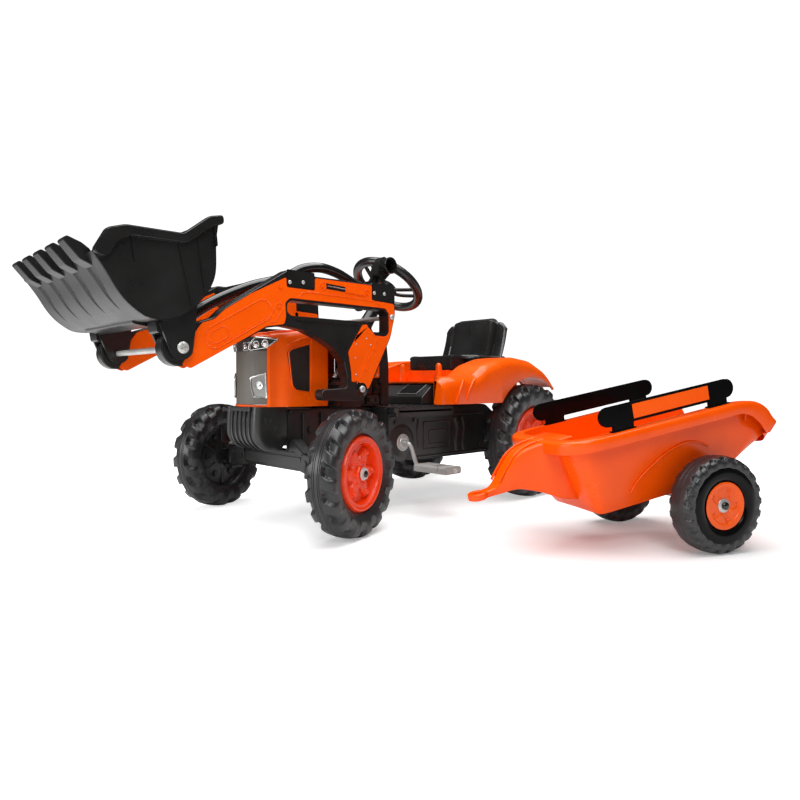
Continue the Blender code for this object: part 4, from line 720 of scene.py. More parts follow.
def hood():
    def plan(inset):
        wide, front = 0.086 - inset, 0.064 - inset
        right = curve([(front, -0.06 + inset), (wide - 0.017, -0.045 + inset), (wide - 0.0055, -0.028),
            (wide - 0.0008, -0.004), (wide, 0.02), (wide, 0.045), (wide, 0.067 - inset)], 4)
        right = [(p.x, p.y) for p in right]
        left = [(-x, y) for x, y in right]
        return right[::-1] + nose(front, -0.06 + inset, 0.0275)[::-1][1:-1] + left

    def crown(y):
        return 0.3865 + 0.0145 * step_up(-0.075, 0.06, y)

    rows = []
    for z in (0.241, 0.2425, 0.3, 0.345, 0.365):
        rows.append([(x, y, z) for x, y in plan(0.0)])
    for t in range(1, 9):
        a = radians(90 * t / 8)
        rows.append([(x * (1 - 0.2 * (1 - cos(a))), y - (y + 0.002) * 0.1 * (1 - cos(a)) if y < 0.05 else y,
            0.365 + (crown(y) - 0.365) * sin(a)) for x, y in plan(0.0)])
    inner = []
    for row in rows[::-1]:
        inner.append([(x * 0.955, y + (0.0035 if y < -0.02 else 0.0), min(z, z - 0.0035) if z > 0.3 else z)
            for x, y, z in row])
    shape = bmesh.new()
    lines = [[shape.verts.new(p) for p in row] for row in rows + inner]
    count = len(lines[0])
    for first, second in zip(lines, lines[1:] + lines[:1]):
        for k in range(count - 1):
            shape.faces.new((first[k], first[k + 1], second[k + 1], second[k]))
    for k in (0, count - 1):
        shape.faces.new([line[k] for line in lines])
    top_outer, top_inner = lines[len(rows) - 1], lines[len(rows)]
    bmesh.ops.delete(shape, geom=[f for f in shape.faces if all(v in top_outer or v in top_inner
        for v in f.verts)], context="FACES_ONLY")
    shape.faces.new(top_outer)
    shape.faces.new(top_inner[::-1])
    mouth = sheet([(-0.0595, 0.245), (0.0595, 0.245), (0.0595, 0.3805), (-0.0595, 0.3805)], 0.003, -0.12,
        -0.052, 0, "Y")
    tools = [mouth]
    outline = [(-0.03, 0.35), (-0.023, 0.356), (0.0225, 0.369), (0.0225, 0.269), (-0.013, 0.274),
        (-0.0215, 0.283)]
    for side in (1, -1):
        hole = sheet(outline, 0.006, 0.078 if side > 0 else -0.1, 0.1 if side > 0 else -0.078, 0.0)
        tools.append(hole)
    piece("hood_shell", carved(shape, *tools), ORANGE, "chassis", angle=32.0, instead=("hood",))
    for side in (1, -1):
        panel = sheet(outline, 0.006, 0.08, 0.0832, 0.0006)
        piece("vent_panel_" + label(side), panel, MESH, "chassis", instead=("hood_vent_" + label(side),),
            side=side)
        frame_line = ridge(rounded(outline, 0.006), 0.0853, 0.0014, True)
        crease = tube([(0.0858, 0.026, 0.262), (0.0862, 0.0265, 0.372), (0.085, 0.0235, 0.38)], 0.0012, 8)
        sweep = tube(curve([(0.082, -0.03, 0.364), (0.0856, 0.0, 0.3775), (0.0858, 0.025, 0.3815),
            (0.086, 0.062, 0.3815)], 5), 0.0013, 8)
        piece("hood_lines_" + label(side), joined(frame_line, crease, sweep), ORANGE, "chassis", side=side)
    beads = []
    for x in (-0.028, 0.028):
        beads.append(tube(curve([(x, -0.066, 0.3855), (x * 1.15, -0.02, 0.3945), (x * 1.3, 0.05, 0.4005)], 6),
            0.0022, 10))
    piece("hood_beads", joined(*beads), ORANGE, "chassis")


def wrap(x):
    """Y of the hood's face round its front corner, at a given X."""
    if abs(x) <= 0.0595:
        return face_at(x)
    t = min(1.0, (abs(x) - 0.0595) / 0.0245)
    return -0.061 + 0.031 * t ** 1.7


def grille():
    steps, high = 150, 40
    rows = []
    for j in range(high + 1):
        z = 0.2455 + (0.3525 - 0.2455) * j / high
        row = []
        for i in range(steps + 1):
            x = 0.0594 * (2 * i / steps - 1)
            line = 0.00055 * (0.5 + 0.5 * cos(2 * pi * i / 3.0))
            row.append((x, face_at(x) + 0.0008 + line, z))
        rows.append(row)
    piece("grille_skin", grid(rows), GRILLE, "chassis", angle=60, instead=("grille",))
    back = [(0.0592, -0.054), (-0.0592, -0.054)]
    core = slab([(x, y + 0.0022) for x, y in nose(0.0592, -0.0605, 0.026, 24)] + back, 0.2455, 0.38, 0.0, "Z")
    piece("grille_core", core, GRILLE, "chassis")
    band = [(x, face_at(x) - 0.002) for x in [0.059 * (k / 12 - 1) for k in range(25)]]
    rear = [(x, face_at(x) + 0.0015) for x in [0.059 * (1 - k / 12) for k in range(25)]]
    piece("strip_back", slab(band + rear, 0.3532, 0.38, 0, "Z"), MESH, "chassis", instead=("headlamp_strip",))
    for side in (1, -1):
        lamp = [(0.03, 0.3535), (0.0615, 0.359), (0.077, 0.3745), (0.04, 0.379), (0.033, 0.369)]
        loop = rounded(lamp, 0.003, 4)
        bar = tube([(x, wrap(x) - 0.0036, z) for x, z in loop], 0.0017, 8, True)
        small = rounded([(0.013, 0.354), (0.0255, 0.354), (0.029, 0.369), (0.013, 0.369)], 0.002, 4)
        inner = tube([(x, wrap(x) - 0.0026, z) for x, z in small], 0.0011, 8, True)
        piece("strip_frame_" + label(side), joined(bar, inner), SILVER, "chassis", side=side)
        pane = slab(loop, -0.001, 0.0005, 0.0, "Y")
        bmesh.ops.triangulate(pane, faces=[f for f in pane.faces if len(f.verts) > 4])
        bmesh.ops.subdivide_edges(pane, edges=pane.edges[:], cuts=2, use_grid_fill=True)
        for vertex in pane.verts:
            vertex.co.y += wrap(vertex.co.x) - 0.002
        piece("strip_pane_" + label(side), pane, MESH, "chassis", side=side)
        bulbs = []
        for x, z, size in ((0.0425, 0.3655, 0.0076), (0.0575, 0.3675, 0.0076), (0.0205, 0.361, 0.005)):
            slope = atan2(wrap(x + 0.004) - wrap(x - 0.004), 0.008)
            bulb = turned([(0.0, 0.0001), (0.0, size), (0.0016, size), (0.002, size * 0.86),
                (0.0006, size * 0.62), (0.0012, size * 0.3), (0.0022, 0.0001)], 32)
            spin = at(x, wrap(x) - 0.0032, z) @ Matrix.Rotation(slope, 4, "Z") \
                @ spun(-90, "Z")
            bulbs.append(moved(bulb, spin))
        piece("strip_bulbs_" + label(side), joined(*bulbs), SILVER, "chassis", side=side)
        outline = [(0.03, 0.2985), (0.0575, 0.3085), (0.059, 0.259), (0.037, 0.261), (0.0325, 0.276)]
        loop = rounded(outline, 0.003)
        frame_bar = tube([(x, face_at(x) - 0.0022, z) for x, z in loop], 0.002, 8, True)
        piece("lower_bezel_" + label(side), frame_bar, SILVER, "chassis",
            instead=("lower_lamp_" + label(side),), side=side)
        glass = slab(loop, -0.002, 0.0, 0.0005, "Y")
        for vertex in glass.verts:
            vertex.co.y += face_at(vertex.co.x) - 0.0002
        piece("lower_glass_" + label(side), glass, LENS, "chassis", side=side)
        spin = at(0.0465, face_at(0.0465) - 0.0018, 0.284) @ Matrix.Rotation(radians(-62), 4, "Z")
        bulb = turned([(0.0, 0.0001), (0.0, 0.008), (0.0012, 0.008), (0.0004, 0.004), (0.0016, 0.0001)], 28)
        piece("lower_bulb_" + label(side), moved(bulb, spin), SILVER, "chassis", side=side)


def weights():
    def outline(grow):
        front = [(-0.0885 - grow, 0.2405), (-0.0905 - grow, 0.205)]
        return front + arc((-0.05, 0.192), 0.0405 + grow, 180, 270, 10) + [(-0.032, 0.1505 - grow * 0.3),
            (-0.0185, 0.17), (-0.0185, 0.2405)]
    slabs = [slab(outline(-0.0045), -0.05, 0.05, 0.003, steps=3)]
    for index in range(5):
        x = (index - 2) * 0.0166
        slabs.append(slab(outline(0.0), x - 0.0072, x + 0.0072, 0.004, steps=5))
    for side in (1, -1):
        rows = []
        for x, inset in ((0.042, 0.003), (0.044, 0.0006), (0.0475, 0.0), (0.0525, 0.0008), (0.056, 0.0028),
                (0.0585, 0.0062), (0.06, 0.011), (0.0605, 0.017)):
            rows.append([(side * x, y, z) for y, z in outline(-inset)])
        cheek = grid(rows, False, True)
        capped(cheek, len(rows[0]))
        slabs.append(cheek)
    slabs.append(brick((-0.04, -0.0925, 0.232), (0.04, -0.06, 0.2405), 0.002, 0.004))
    piece("weight_stack", joined(*slabs), BLACK_WITH_PAINTED_FILL, "chassis", angle=60, instead=("front_weights",))
    rings = []
    for side in (1, -1):
        for centre in ((-0.062, 0.214), (-0.04, 0.196)):
            for size in (0.0072, 0.0035):
                rings.append(ridge(arc(centre, size, 0, 342, 19), side * 0.0603, 0.0011, True))
    piece("weight_rings", joined(*rings), BLACK_WITH_PAINTED_FILL, "chassis")


def column():
    plates = []
    for side in (1, -1):
        ends = sorted((side * 0.073, side * 0.082))
        post = [(0.2165, 0.237), (0.2465, 0.237), (0.2465, 0.33), (0.2385, 0.398), (0.23, 0.4045),
            (0.2165, 0.4045)]
        plates.append(sheet(post, 0.004, ends[0], ends[1], 0.0018, steps=3))
        ends = sorted((side * 0.062, side * 0.1185))
        lug = [(0.076, 0.2372), (0.131, 0.2372), (0.125, 0.286)] + arc(LIFT, 0.019, 30,
            150) + [(0.085, 0.286)]
        plates.append(carved(sheet(lug, 0.003, ends[0], ends[1], 0.0018), disc(LIFT, 0.0062, -0.3, 0.3, 0)))
        cheek = rounded([(0.132, 0.2372), (0.216, 0.2372), (0.216, 0.2995), (0.136, 0.2995)], 0.004)
        ends = sorted((side * 0.06, side * 0.08))
        plates.append(slab(cheek, ends[0], ends[1], 0.002))
        for y0, y1, z0, z1 in ((0.14, 0.166, 0.243, 0.287), (0.171, 0.209, 0.241, 0.262),
                (0.172, 0.188, 0.266, 0.293), (0.192, 0.21, 0.266, 0.285)):
            block = brick((0.079, y0, z0), (0.0905, y1, z1), 0.002, 0.003, "X")
            plates.append(flipped(block, side))
        for y, z in ((0.148, 0.2535), (0.159, 0.278), (0.18, 0.251), (0.2, 0.251), (0.18, 0.279),
                (0.201, 0.276)):
            knob = disc((y, z), 0.0046, 0.09, 0.0945, 0.001)
            plates.append(flipped(knob, side))
        pipe = tube(curve([(0.088, 0.133, 0.243), (0.092, 0.134, 0.262), (0.091, 0.14, 0.29),
            (0.086, 0.155, 0.2965)], 5), 0.004, 12)
        plates.append(flipped(pipe, side))
        beads = [disc((0.2195, 0.2455 + 0.0105 * k), 0.0048, 0.0795, 0.0875, 0.0014) for k in range(5)]
        for bead in beads:
            plates.append(flipped(bead, side))
    plates.append(brick((-0.074, 0.218, 0.2372), (0.074, 0.24, 0.403), 0.002, 0.004))
    plates.append(brick((-0.06, 0.087, 0.2372), (0.06, 0.217, 0.3), 0.003, 0.006))
    top = [(0.118, 0.3725), (0.244, 0.3725), (0.242, 0.399), (0.23, 0.4045), (0.16, 0.4025), (0.118, 0.4)]
    plates.append(sheet(top, 0.005, -0.078, 0.078, 0.004, steps=3))
    piece("column_frame", joined(*plates), BLACK, "chassis", instead=("column",))
    for side in (1, -1):
        panel = sheet([(0.14, 0.3005), (0.214, 0.3005), (0.214, 0.37), (0.148, 0.37)], 0.004, 0.077, 0.086,
            0.0012)
        piece("side_skin_" + label(side), panel, ORANGE, "chassis", instead=("side_panel_" + label(side),),
            side=side)
        pins = [screw(0.0858, c, 0.0024, 0.0014) for c in ((0.208, 0.306), (0.208, 0.364), (0.146, 0.306))]
        piece("side_pins_" + label(side), joined(*pins), ZINC, "chassis", side=side)


def front_axle():
    """Ribs, brackets and bolts round the axle beam and the kingpins."""
    solids = []
    for side in (1, -1):
        x = side * KINGPIN
        for low, high, size in ((0.1385, 0.1455, 0.017), (0.0945, 0.1015, 0.0165)):
            ring = turned([(low, 0.0001), (low, size), (low + 0.001, size + 0.0008),
                (high - 0.001, size + 0.0008), (high, size - 0.001), (high, 0.0001)], 32)
            solids.append(moved(ring, at(x, 0, 0) @ spun(-90, "Y")))
        web = sheet([(side * 0.166, 0.101), (side * 0.176, 0.145), (side * 0.11, 0.146), (side * 0.1, 0.113)],
            0.004, -0.0175, -0.0135, 0.0012, "Y")
        solids.append(web)
        strut = sheet([(side * 0.058, 0.15), (side * 0.07, 0.176), (side * 0.112, 0.148),
            (side * 0.104, 0.14)], 0.004, -0.015, 0.012, 0.002, "Y")
        solids.append(strut)
        solids.append(disc((x * 0.8, 0.126), 0.01, -0.0215, -0.016, 0.0012, "Y"))
        solids.append(disc((x * 0.62, 0.129), 0.007, -0.02, -0.014, 0.0012, "Y"))
    solids.append(brick((-0.085, -0.0165, 0.144), (0.085, 0.0165, 0.15), 0.0015, 0.004))
    solids.append(brick((-0.105, -0.017, 0.118), (0.105, -0.0135, 0.14), 0.0012, 0.003))
    piece("axle_trim", joined(*solids), BLACK_WITH_PAINTED_FILL, "chassis")
    caps_made = []
    for side in (1, -1):
        nut = turned([(0.1455, 0.0001), (0.1455, 0.0075), (0.149, 0.0075), (0.15, 0.005), (0.153, 0.0045),
            (0.153, 0.0001)], 6)
        caps_made.append(moved(nut, at(side * KINGPIN, 0, 0) @ spun(-90, "Y")))
    piece("axle_nuts", joined(*caps_made), ZINC, "chassis")


# ---------------------------------------------------------------- chassis and drive
def chassis():
    side_view = [(0.205, 0.2355), (0.205, 0.15), (0.222, 0.12), (0.29, 0.11), (0.576, 0.11), (0.652, 0.114),
        (0.652, 0.176), (0.56, 0.2355)]
    inside = [(0.212, 0.2285), (0.212, 0.04), (0.645, 0.04), (0.645, 0.17), (0.553, 0.2285)]
    body = carved(slab(rounded(side_view, 0.012, 6), -0.1195, 0.1195, 0.005, steps=4),
        slab(inside, -0.113, 0.113, 0.0), disc(CRANK, 0.0138, -0.3, 0.3, 0),
        disc(REAR_HUB, 0.0066, -0.3, 0.3, 0))
    rails = []
    for side in (1, -1):
        ends = sorted((side * 0.0535, side * 0.06))
        rails.append(sheet([(-0.016, 0.148), (0.222, 0.148), (0.222, 0.235), (-0.016, 0.235)], 0.004, ends[0],
            ends[1], 0.0015))
        for y in (0.02, 0.066, 0.112, 0.158):
            rib = brick((0.059, y, 0.15), (0.065, y + 0.006, 0.233), 0.0015, 0.002)
            rails.append(flipped(rib, side))
        for z in (0.15, 0.227):
            flange = brick((0.059, -0.014, z), (0.068, 0.205, z + 0.0065), 0.0015, 0.002)
            rails.append(flipped(flange, side))
        for y, z in ((0.04, 0.19), (0.09, 0.19), (0.136, 0.19)):
            knob = disc((y, z), 0.007, 0.0595, 0.064, 0.0015)
            rails.append(flipped(knob, side))
        for y, z, size in ((0.176, 0.212, 0.008), (0.19, 0.186, 0.009), (0.166, 0.176, 0.007),
                (0.196, 0.162, 0.006)):
            lump = disc((y, z), size, 0.059, 0.066, 0.003)
            rails.append(flipped(lump, side))
    rails.append(brick((-0.0585, -0.014, 0.229), (0.0585, 0.06, 0.235), 0.0015, 0.003))
    rails.append(brick((-0.0585, 0.128, 0.229), (0.0585, 0.206, 0.235), 0.0015, 0.003))
    piece("chassis_body", joined(body, *rails), BLACK_WITH_PAINTED_FILL, "chassis", instead=("chassis",))
    trim = []
    for side in (1, -1):
        boss = turned([(0.1165, 0.0139), (0.1165, 0.044), (0.1185, 0.043), (0.1215, 0.0355), (0.1225, 0.032),
            (0.1222, 0.026), (0.1236, 0.022), (0.1237, 0.0139)], 48)
        solids = [moved(boss, at(0, 0.249, 0.155))]
        frames = [ridge(rounded([(0.322, 0.134), (0.412, 0.134), (0.412, 0.197), (0.322, 0.197)], 0.004),
            0.1195, 0.0022, True), ridge(rounded([(0.34, 0.145), (0.4, 0.145), (0.4, 0.177), (0.34, 0.177)],
            0.003), 0.1195, 0.0018, True), ridge([(0.215, 0.213), (0.548, 0.213)], 0.1192, 0.0024),
            ridge([(0.3, 0.118), (0.6, 0.118)], 0.1192, 0.003), ridge(curve(
            [(0.432, 0.205), (0.44, 0.18), (0.434, 0.15), (0.438, 0.122)], 6), 0.118, 0.006),
            ridge(curve([(0.46, 0.205), (0.468, 0.18), (0.462, 0.15), (0.466, 0.122)], 6), 0.1185, 0.004),
            ridge(curve([(0.305, 0.205), (0.3, 0.175), (0.306, 0.14)], 6), 0.1185, 0.0034)]
        solids += frames
        for y, z in ((0.232, 0.2), (0.292, 0.203), (0.448, 0.196), (0.5, 0.19), (0.53, 0.13)):
            solids.append(disc((y, z), 0.0062, 0.1185, 0.1225, 0.0014))
        board = brick((0.112, 0.207, 0.2215), (0.148, 0.398, 0.2352), 0.002, 0.008)
        lip = brick((0.14, 0.209, 0.212), (0.148, 0.396, 0.23), 0.002, 0.003)
        solids += [board, lip]
        for solid in solids:
            trim.append(flipped(solid, side))
        for row in range(13):
            for line in range(3):
                y, x = 0.219 + row * 0.0142, 0.119 + line * 0.0112
                lean = 45.0 if (row + line) % 2 else -45.0
                stud = brick((-0.0052, -0.0016, 0.0), (0.0052, 0.0016, 0.0014), 0.0006, 0.0014)
                stud = moved(stud, at(side * x, y, 0.235) @ spun(lean, "Z"))
                trim.append(stud)
    trim.append(brick((-0.114, 0.207, 0.224), (0.114, 0.398, 0.2352), 0.0015, 0.004))
    for row in range(9):
        for line in range(17):
            lean = 45.0 if (row + line) % 2 else -45.0
            stud = brick((-0.005, -0.0015, 0.0), (0.005, 0.0015, 0.0014), 0.0006, 0.0013)
            place = at((line - 8) * 0.0124, 0.256 + row * 0.0115, 0.235)
            trim.append(moved(stud, place @ spun(lean, "Z")))
    console = [(0.36, 0.2352), (0.436, 0.2352), (0.436, 0.2855), (0.396, 0.2855), (0.36, 0.256)]
    trim.append(sheet(console, 0.004, -0.0785, 0.0785, 0.003, steps=3))
    piece("chassis_trim", joined(*trim), BLACK_WITH_PAINTED_FILL, "chassis")
    lid = sheet([(-0.012, -0.017), (0.052, -0.017), (0.062, 0.017), (-0.002, 0.017)], 0.003, 0.0, 0.0022,
        0.0008, "Z")
    moved(lid, at(0, 0.379, 0.2722) @ spun(39, "X"))
    trim_line = [tube([(x0, 0.379 + y0 * 0.78, 0.2735 + y0 * 0.63),
        (x1, 0.379 + y1 * 0.78, 0.2735 + y1 * 0.63)], 0.0009, 8) for x0, y0, x1,
        y1 in ((-0.012, -0.0175, 0.052, -0.0175), (0.052, -0.0175, 0.062, 0.0175),
        (-0.012, -0.0175, -0.002, 0.0175))]
    piece("console_edge", joined(*trim_line), PEDAL, "chassis")
    piece("console_lid", lid, SHINY, "chassis")


def crank():
    reach = Vector((0.0, 0.0545 * cos(radians(-73)), 0.0545 * sin(radians(-73))))
    half = curve([(0.0, 0, 0), (0.118, 0, 0), (0.134, 0, 0), (0.1435, *(reach * 0.045)[1:]),
        (0.149, *(reach * 0.22)[1:]), (0.1505, *(reach * 0.5)[1:]), (0.1525, *(reach * 0.82)[1:]),
        (0.1575, *(reach * 0.98)[1:]), (0.166, *reach[1:]), (0.269, *reach[1:])], 6)
    other = [Vector((-p.x, -p.y, -p.z)) for p in half[:0:-1]]
    where = TRACTOR @ at(0, 0.249, 0.155)
    piece("crank_rod", tube(other + half, 0.0047, 16), ZINC, "crank", where, instead=("crankshaft",))
    for side in (1, -1):
        spot = where @ Matrix.Translation(reach * side)
        outline = rounded([(-0.0265, -0.0078), (0.0265, -0.0078), (0.0265, 0.0078), (-0.0265, 0.0078)], 0.005,
            6)
        pad = carved(slab(outline, 0.166, 0.2635, 0.0036, steps=4), disc((0, 0), 0.0053, 0.1, 0.3, 0),
            brick((0.215, -0.02, 0.0045), (0.235, 0.02, 0.02), 0.001, 0.004),
            brick((0.2385, -0.03, -0.003), (0.241, 0.03, 0.02), 0.0, 0.0004))
        ribs = [brick((0.172 + 0.0095 * k, -0.0215, 0.007), (0.1755 + 0.0095 * k, 0.0215, 0.008), 0.0004,
            0.001) for k in range(5)]
        ribs += [turned([(0.164, 0.0054), (0.164, 0.0078), (0.168, 0.0078), (0.168, 0.0054)], 24)]
        piece("pedal_pad_" + label(side), joined(pad, *ribs), PEDAL, "pedal_" + label(side), spot,
            instead=("pedal_" + label(side),), side=side)
        bush = turned([(0.1245, 0.0054), (0.1245, 0.019), (0.1256, 0.0195), (0.1268, 0.0175), (0.1272, 0.012),
            (0.1284, 0.011), (0.1284, 0.0054)], 36)
        notches = [brick((0.1262, -0.0014, 0.0135), (0.1278, 0.0014, 0.0172), 0.0003, 0.0008)
            for _ in range(8)]
        for k, notch in enumerate(notches):
            moved(notch, spun(45 * k, "X"))
        piece("bush_face_" + label(side), joined(bush, *notches), ZINC, "chassis", where,
            instead=("crank_bush_" + label(side),), side=side)


# ---------------------------------------------------------------- rear body and seat
def fender_top(y):
    points = [(0.281, 0.291), (0.29, 0.299), (0.312, 0.3035), (0.392, 0.3055), (0.433, 0.331), (0.496, 0.349),
        (0.547, 0.3535), (0.617, 0.346), (0.674, 0.3215), (0.701, 0.2965), (0.7125, 0.277)]
    for (y0, z0), (y1, z1) in zip(points, points[1:]):
        if y <= y1:
            return z0 + (z1 - z0) * (y - y0) / (y1 - y0)
    return points[-1][1]


def fender_low(y, radius):
    reach = abs(y - 0.616)
    if reach > radius or y < 0.616 - radius * 0.985:
        return 0.2415
    return max(0.2415, 0.143 + (radius ** 2 - reach ** 2) ** 0.5)


def rear_body():
    ys = [0.281 + 0.003 * k for k in range(145)]
    smooth = [sum(fender_top(min(0.7125, max(0.281, y + d * 0.0035))) for d in range(-3, 4)) / 7 for y in ys]
    for side in (1, -1):
        rows = []
        for y, top in zip(ys, smooth):
            skin = 0.0035
            low = min(fender_low(y, 0.1605), top - 0.004)
            swell = 0.215 + 0.0095 * step_up(0.285, 0.33, y)
            inner = 0.19 - 0.064 * step_up(0.0, 1.0, (y - 0.283) / 0.075)
            bow = min(0.03, (top - low) * 0.8)
            under = max(low, min(top - skin, 0.143 + (0.168 ** 2 - min(0.1679, abs(y - 0.616)) ** 2) ** 0.5))
            if y < 0.45:
                under = low
            row = [(inner, y, under), (inner, y, top - 0.003), (inner + 0.002, y, top - 0.0008),
                (inner + 0.008, y, top)]
            start = inner + 0.008
            row += [(start + (swell - 0.024 - start) * k / 6, y, top) for k in range(1, 6)]
            row += [(swell - 0.024 + 0.024 * sin(radians(a)), y, top - bow * 0.8 * (1 - cos(radians(a))))
                for a in range(0, 91, 9)]
            row += [(swell, y, low + 0.003), (swell - 0.0015, y, low), (swell - 0.006, y, low),
                (swell - 0.0075, y, min(low + 0.006, under))]
            row += [(swell - 0.01, y, under), (swell - 0.028, y, under)]
            rows.append(row)
        shape = grid(rows, False, True)
        wide = len(rows[0])
        capped(shape, wide)
        piece("fender_" + label(side), shape, ORANGE, "chassis", angle=42, side=side,
            instead=("rear_body",) if side > 0 else ())
        wall = [(0.48, 0.24)] + arc(REAR_HUB, 0.17, 144, 52, 18) + [(0.71, 0.28), (0.68, 0.312)]
        wall += [(0.617, 0.34), (0.547, 0.348), (0.496, 0.343), (0.44, 0.328), (0.44, 0.24)]
        folds = [slab(wall, 0.127, 0.131, 0.0), tube(curve([(0.2225, 0.318, 0.2445), (0.2262, 0.327, 0.27),
            (0.2215, 0.345, 0.2955)], 6), 0.003, 10), tube(curve([(0.2235, 0.352, 0.25),
            (0.2262, 0.362, 0.275), (0.2215, 0.384, 0.2975)], 6), 0.0028, 10),
            brick((0.086, 0.393, 0.2385), (0.129, 0.442, 0.3015), 0.003, 0.004),
            sheet([(0.125, 0.356), (0.19, 0.29), (0.19, 0.44), (0.125, 0.44)], 0.004, 0.24, 0.302, 0.002,
            "Z")]
        post = turned([(0.294, 0.0001), (0.294, 0.0095), (0.331, 0.0075), (0.336, 0.0062), (0.339, 0.0034),
            (0.34, 0.0001)], 24)
        folds.append(moved(post, at(0.065, 0.435, 0) @ spun(-90, "Y")))
        for y, z in ((0.47, 0.327), (0.54, 0.344)):
            folds.append(moved(turned([(0.0, 0.0001), (0.0, 0.006), (0.002, 0.0045), (0.0022, 0.0001)], 20),
                at(0.15, y, z) @ spun(-90, "Y")))
        piece("rear_foot_" + label(side), joined(*folds), ORANGE, "chassis", side=side)
    deck = [brick((-0.129, 0.3925, 0.2885), (0.129, 0.47, 0.2945), 0.002, 0.004),
        brick((-0.129, 0.443, 0.289), (0.129, 0.688, 0.302), 0.003, 0.01),
        brick((-0.0735, 0.457, 0.295), (0.0735, 0.67, 0.3222), 0.003, 0.006),
        brick((-0.116, 0.442, 0.2385), (0.116, 0.45, 0.29), 0.001, 0.002),
        brick((-0.128, 0.65, 0.245), (0.128, 0.688, 0.296), 0.004, 0.008)]
    piece("rear_deck", joined(*deck), ORANGE, "chassis")


def seat():
    base = [brick((-0.0745, 0.471, 0.324), (0.0745, 0.656, 0.354), 0.002, 0.005)]
    for side in (1, -1):
        for y in (0.486, 0.54, 0.556, 0.59):
            base.append(brick((min(side * 0.0735, side * 0.0765), y, 0.326),
                (max(side * 0.0735, side * 0.0765), y + 0.003, 0.356), 0.0006, 0.001))
        base.append(brick((min(side * 0.06, side * 0.104), 0.53, 0.344),
            (max(side * 0.06, side * 0.104), 0.65, 0.356), 0.003, 0.008))
    base.append(brick((-0.064, 0.4685, 0.33), (0.064, 0.473, 0.352), 0.001, 0.001))
    many, wide = 26, 40
    rows = []
    for i in range(many + 1):
        t = i / many
        y = 0.4725 + (0.66 - 0.4725) * t
        half = 0.075 + 0.032 * step_up(0.2, 0.45, t)
        row = []
        for k in range(wide + 1):
            u = 2 * k / wide - 1
            dish = 0.006 * (1 - step_up(0.55, 0.95, abs(u))) * step_up(0.0, 0.15, t)
            row.append((u * half, y, 0.3625 - dish - 0.004 * step_up(0.96, 1.0, abs(u))
                - 0.003 * step_up(0.06, 0.0, t)))
        rows.append(row)
    low = [[(x, y, 0.352) for x, y, z in row] for row in rows]
    top = grid([r + q[::-1] for r, q in zip(rows, low)], False, True)
    around = 2 * (wide + 1)
    capped(top, around)
    base.append(top)
    piece("seat_pan", joined(*base), BLACK, "seat", angle=45, instead=("seat",))
    front, back = [], []
    for i in range(49):
        t = i / 48
        rise = 0.633 + 0.03 * t + 0.003 * sin(pi * t)
        line, rear = [], []
        for k in range(73):
            u = 2 * k / 72 - 1
            wing = step_up(0.69, 0.74, abs(u))
            top = 0.47 - 0.013 * wing - 0.012 * max(0.0, (abs(u) - 0.45) / 0.25) ** 3 * (1 - wing)
            top -= 0.02 * max(0.0, (abs(u) - 0.8) / 0.2) ** 2
            z = 0.348 + (top - 0.348) * t
            pad = 0.011 * step_up(0.0, 0.04, 0.69 - abs(u)) * step_up(0.1, 0.15, t) * step_up(1.0, 0.95, t)
            bead = 0.0016 * step_up(0.03, 0.0, abs(abs(u) - 0.62)) * step_up(0.16, 0.2, t) * step_up(0.96,
                0.9, t)
            edge = 0.005 * step_up(0.95, 1.0, t) + 0.004 * step_up(0.95, 1.0, abs(u))
            fold = 0.003 * step_up(0.03, 0.0, abs(abs(u) - 0.715))
            line.append((u * 0.108, rise - 0.004 * wing - pad + bead + edge + fold, z))
            rear.append((u * 0.108, rise + 0.011 - 0.004 * wing - edge, z))
        front.append(line)
        back.append(rear)
    shape = grid([f + r[::-1] for f, r in zip(front, back)], False, True)
    wide = len(front[0]) * 2
    capped(shape, wide)
    piece("seat_back", shape, BLACK, "seat", angle=40)


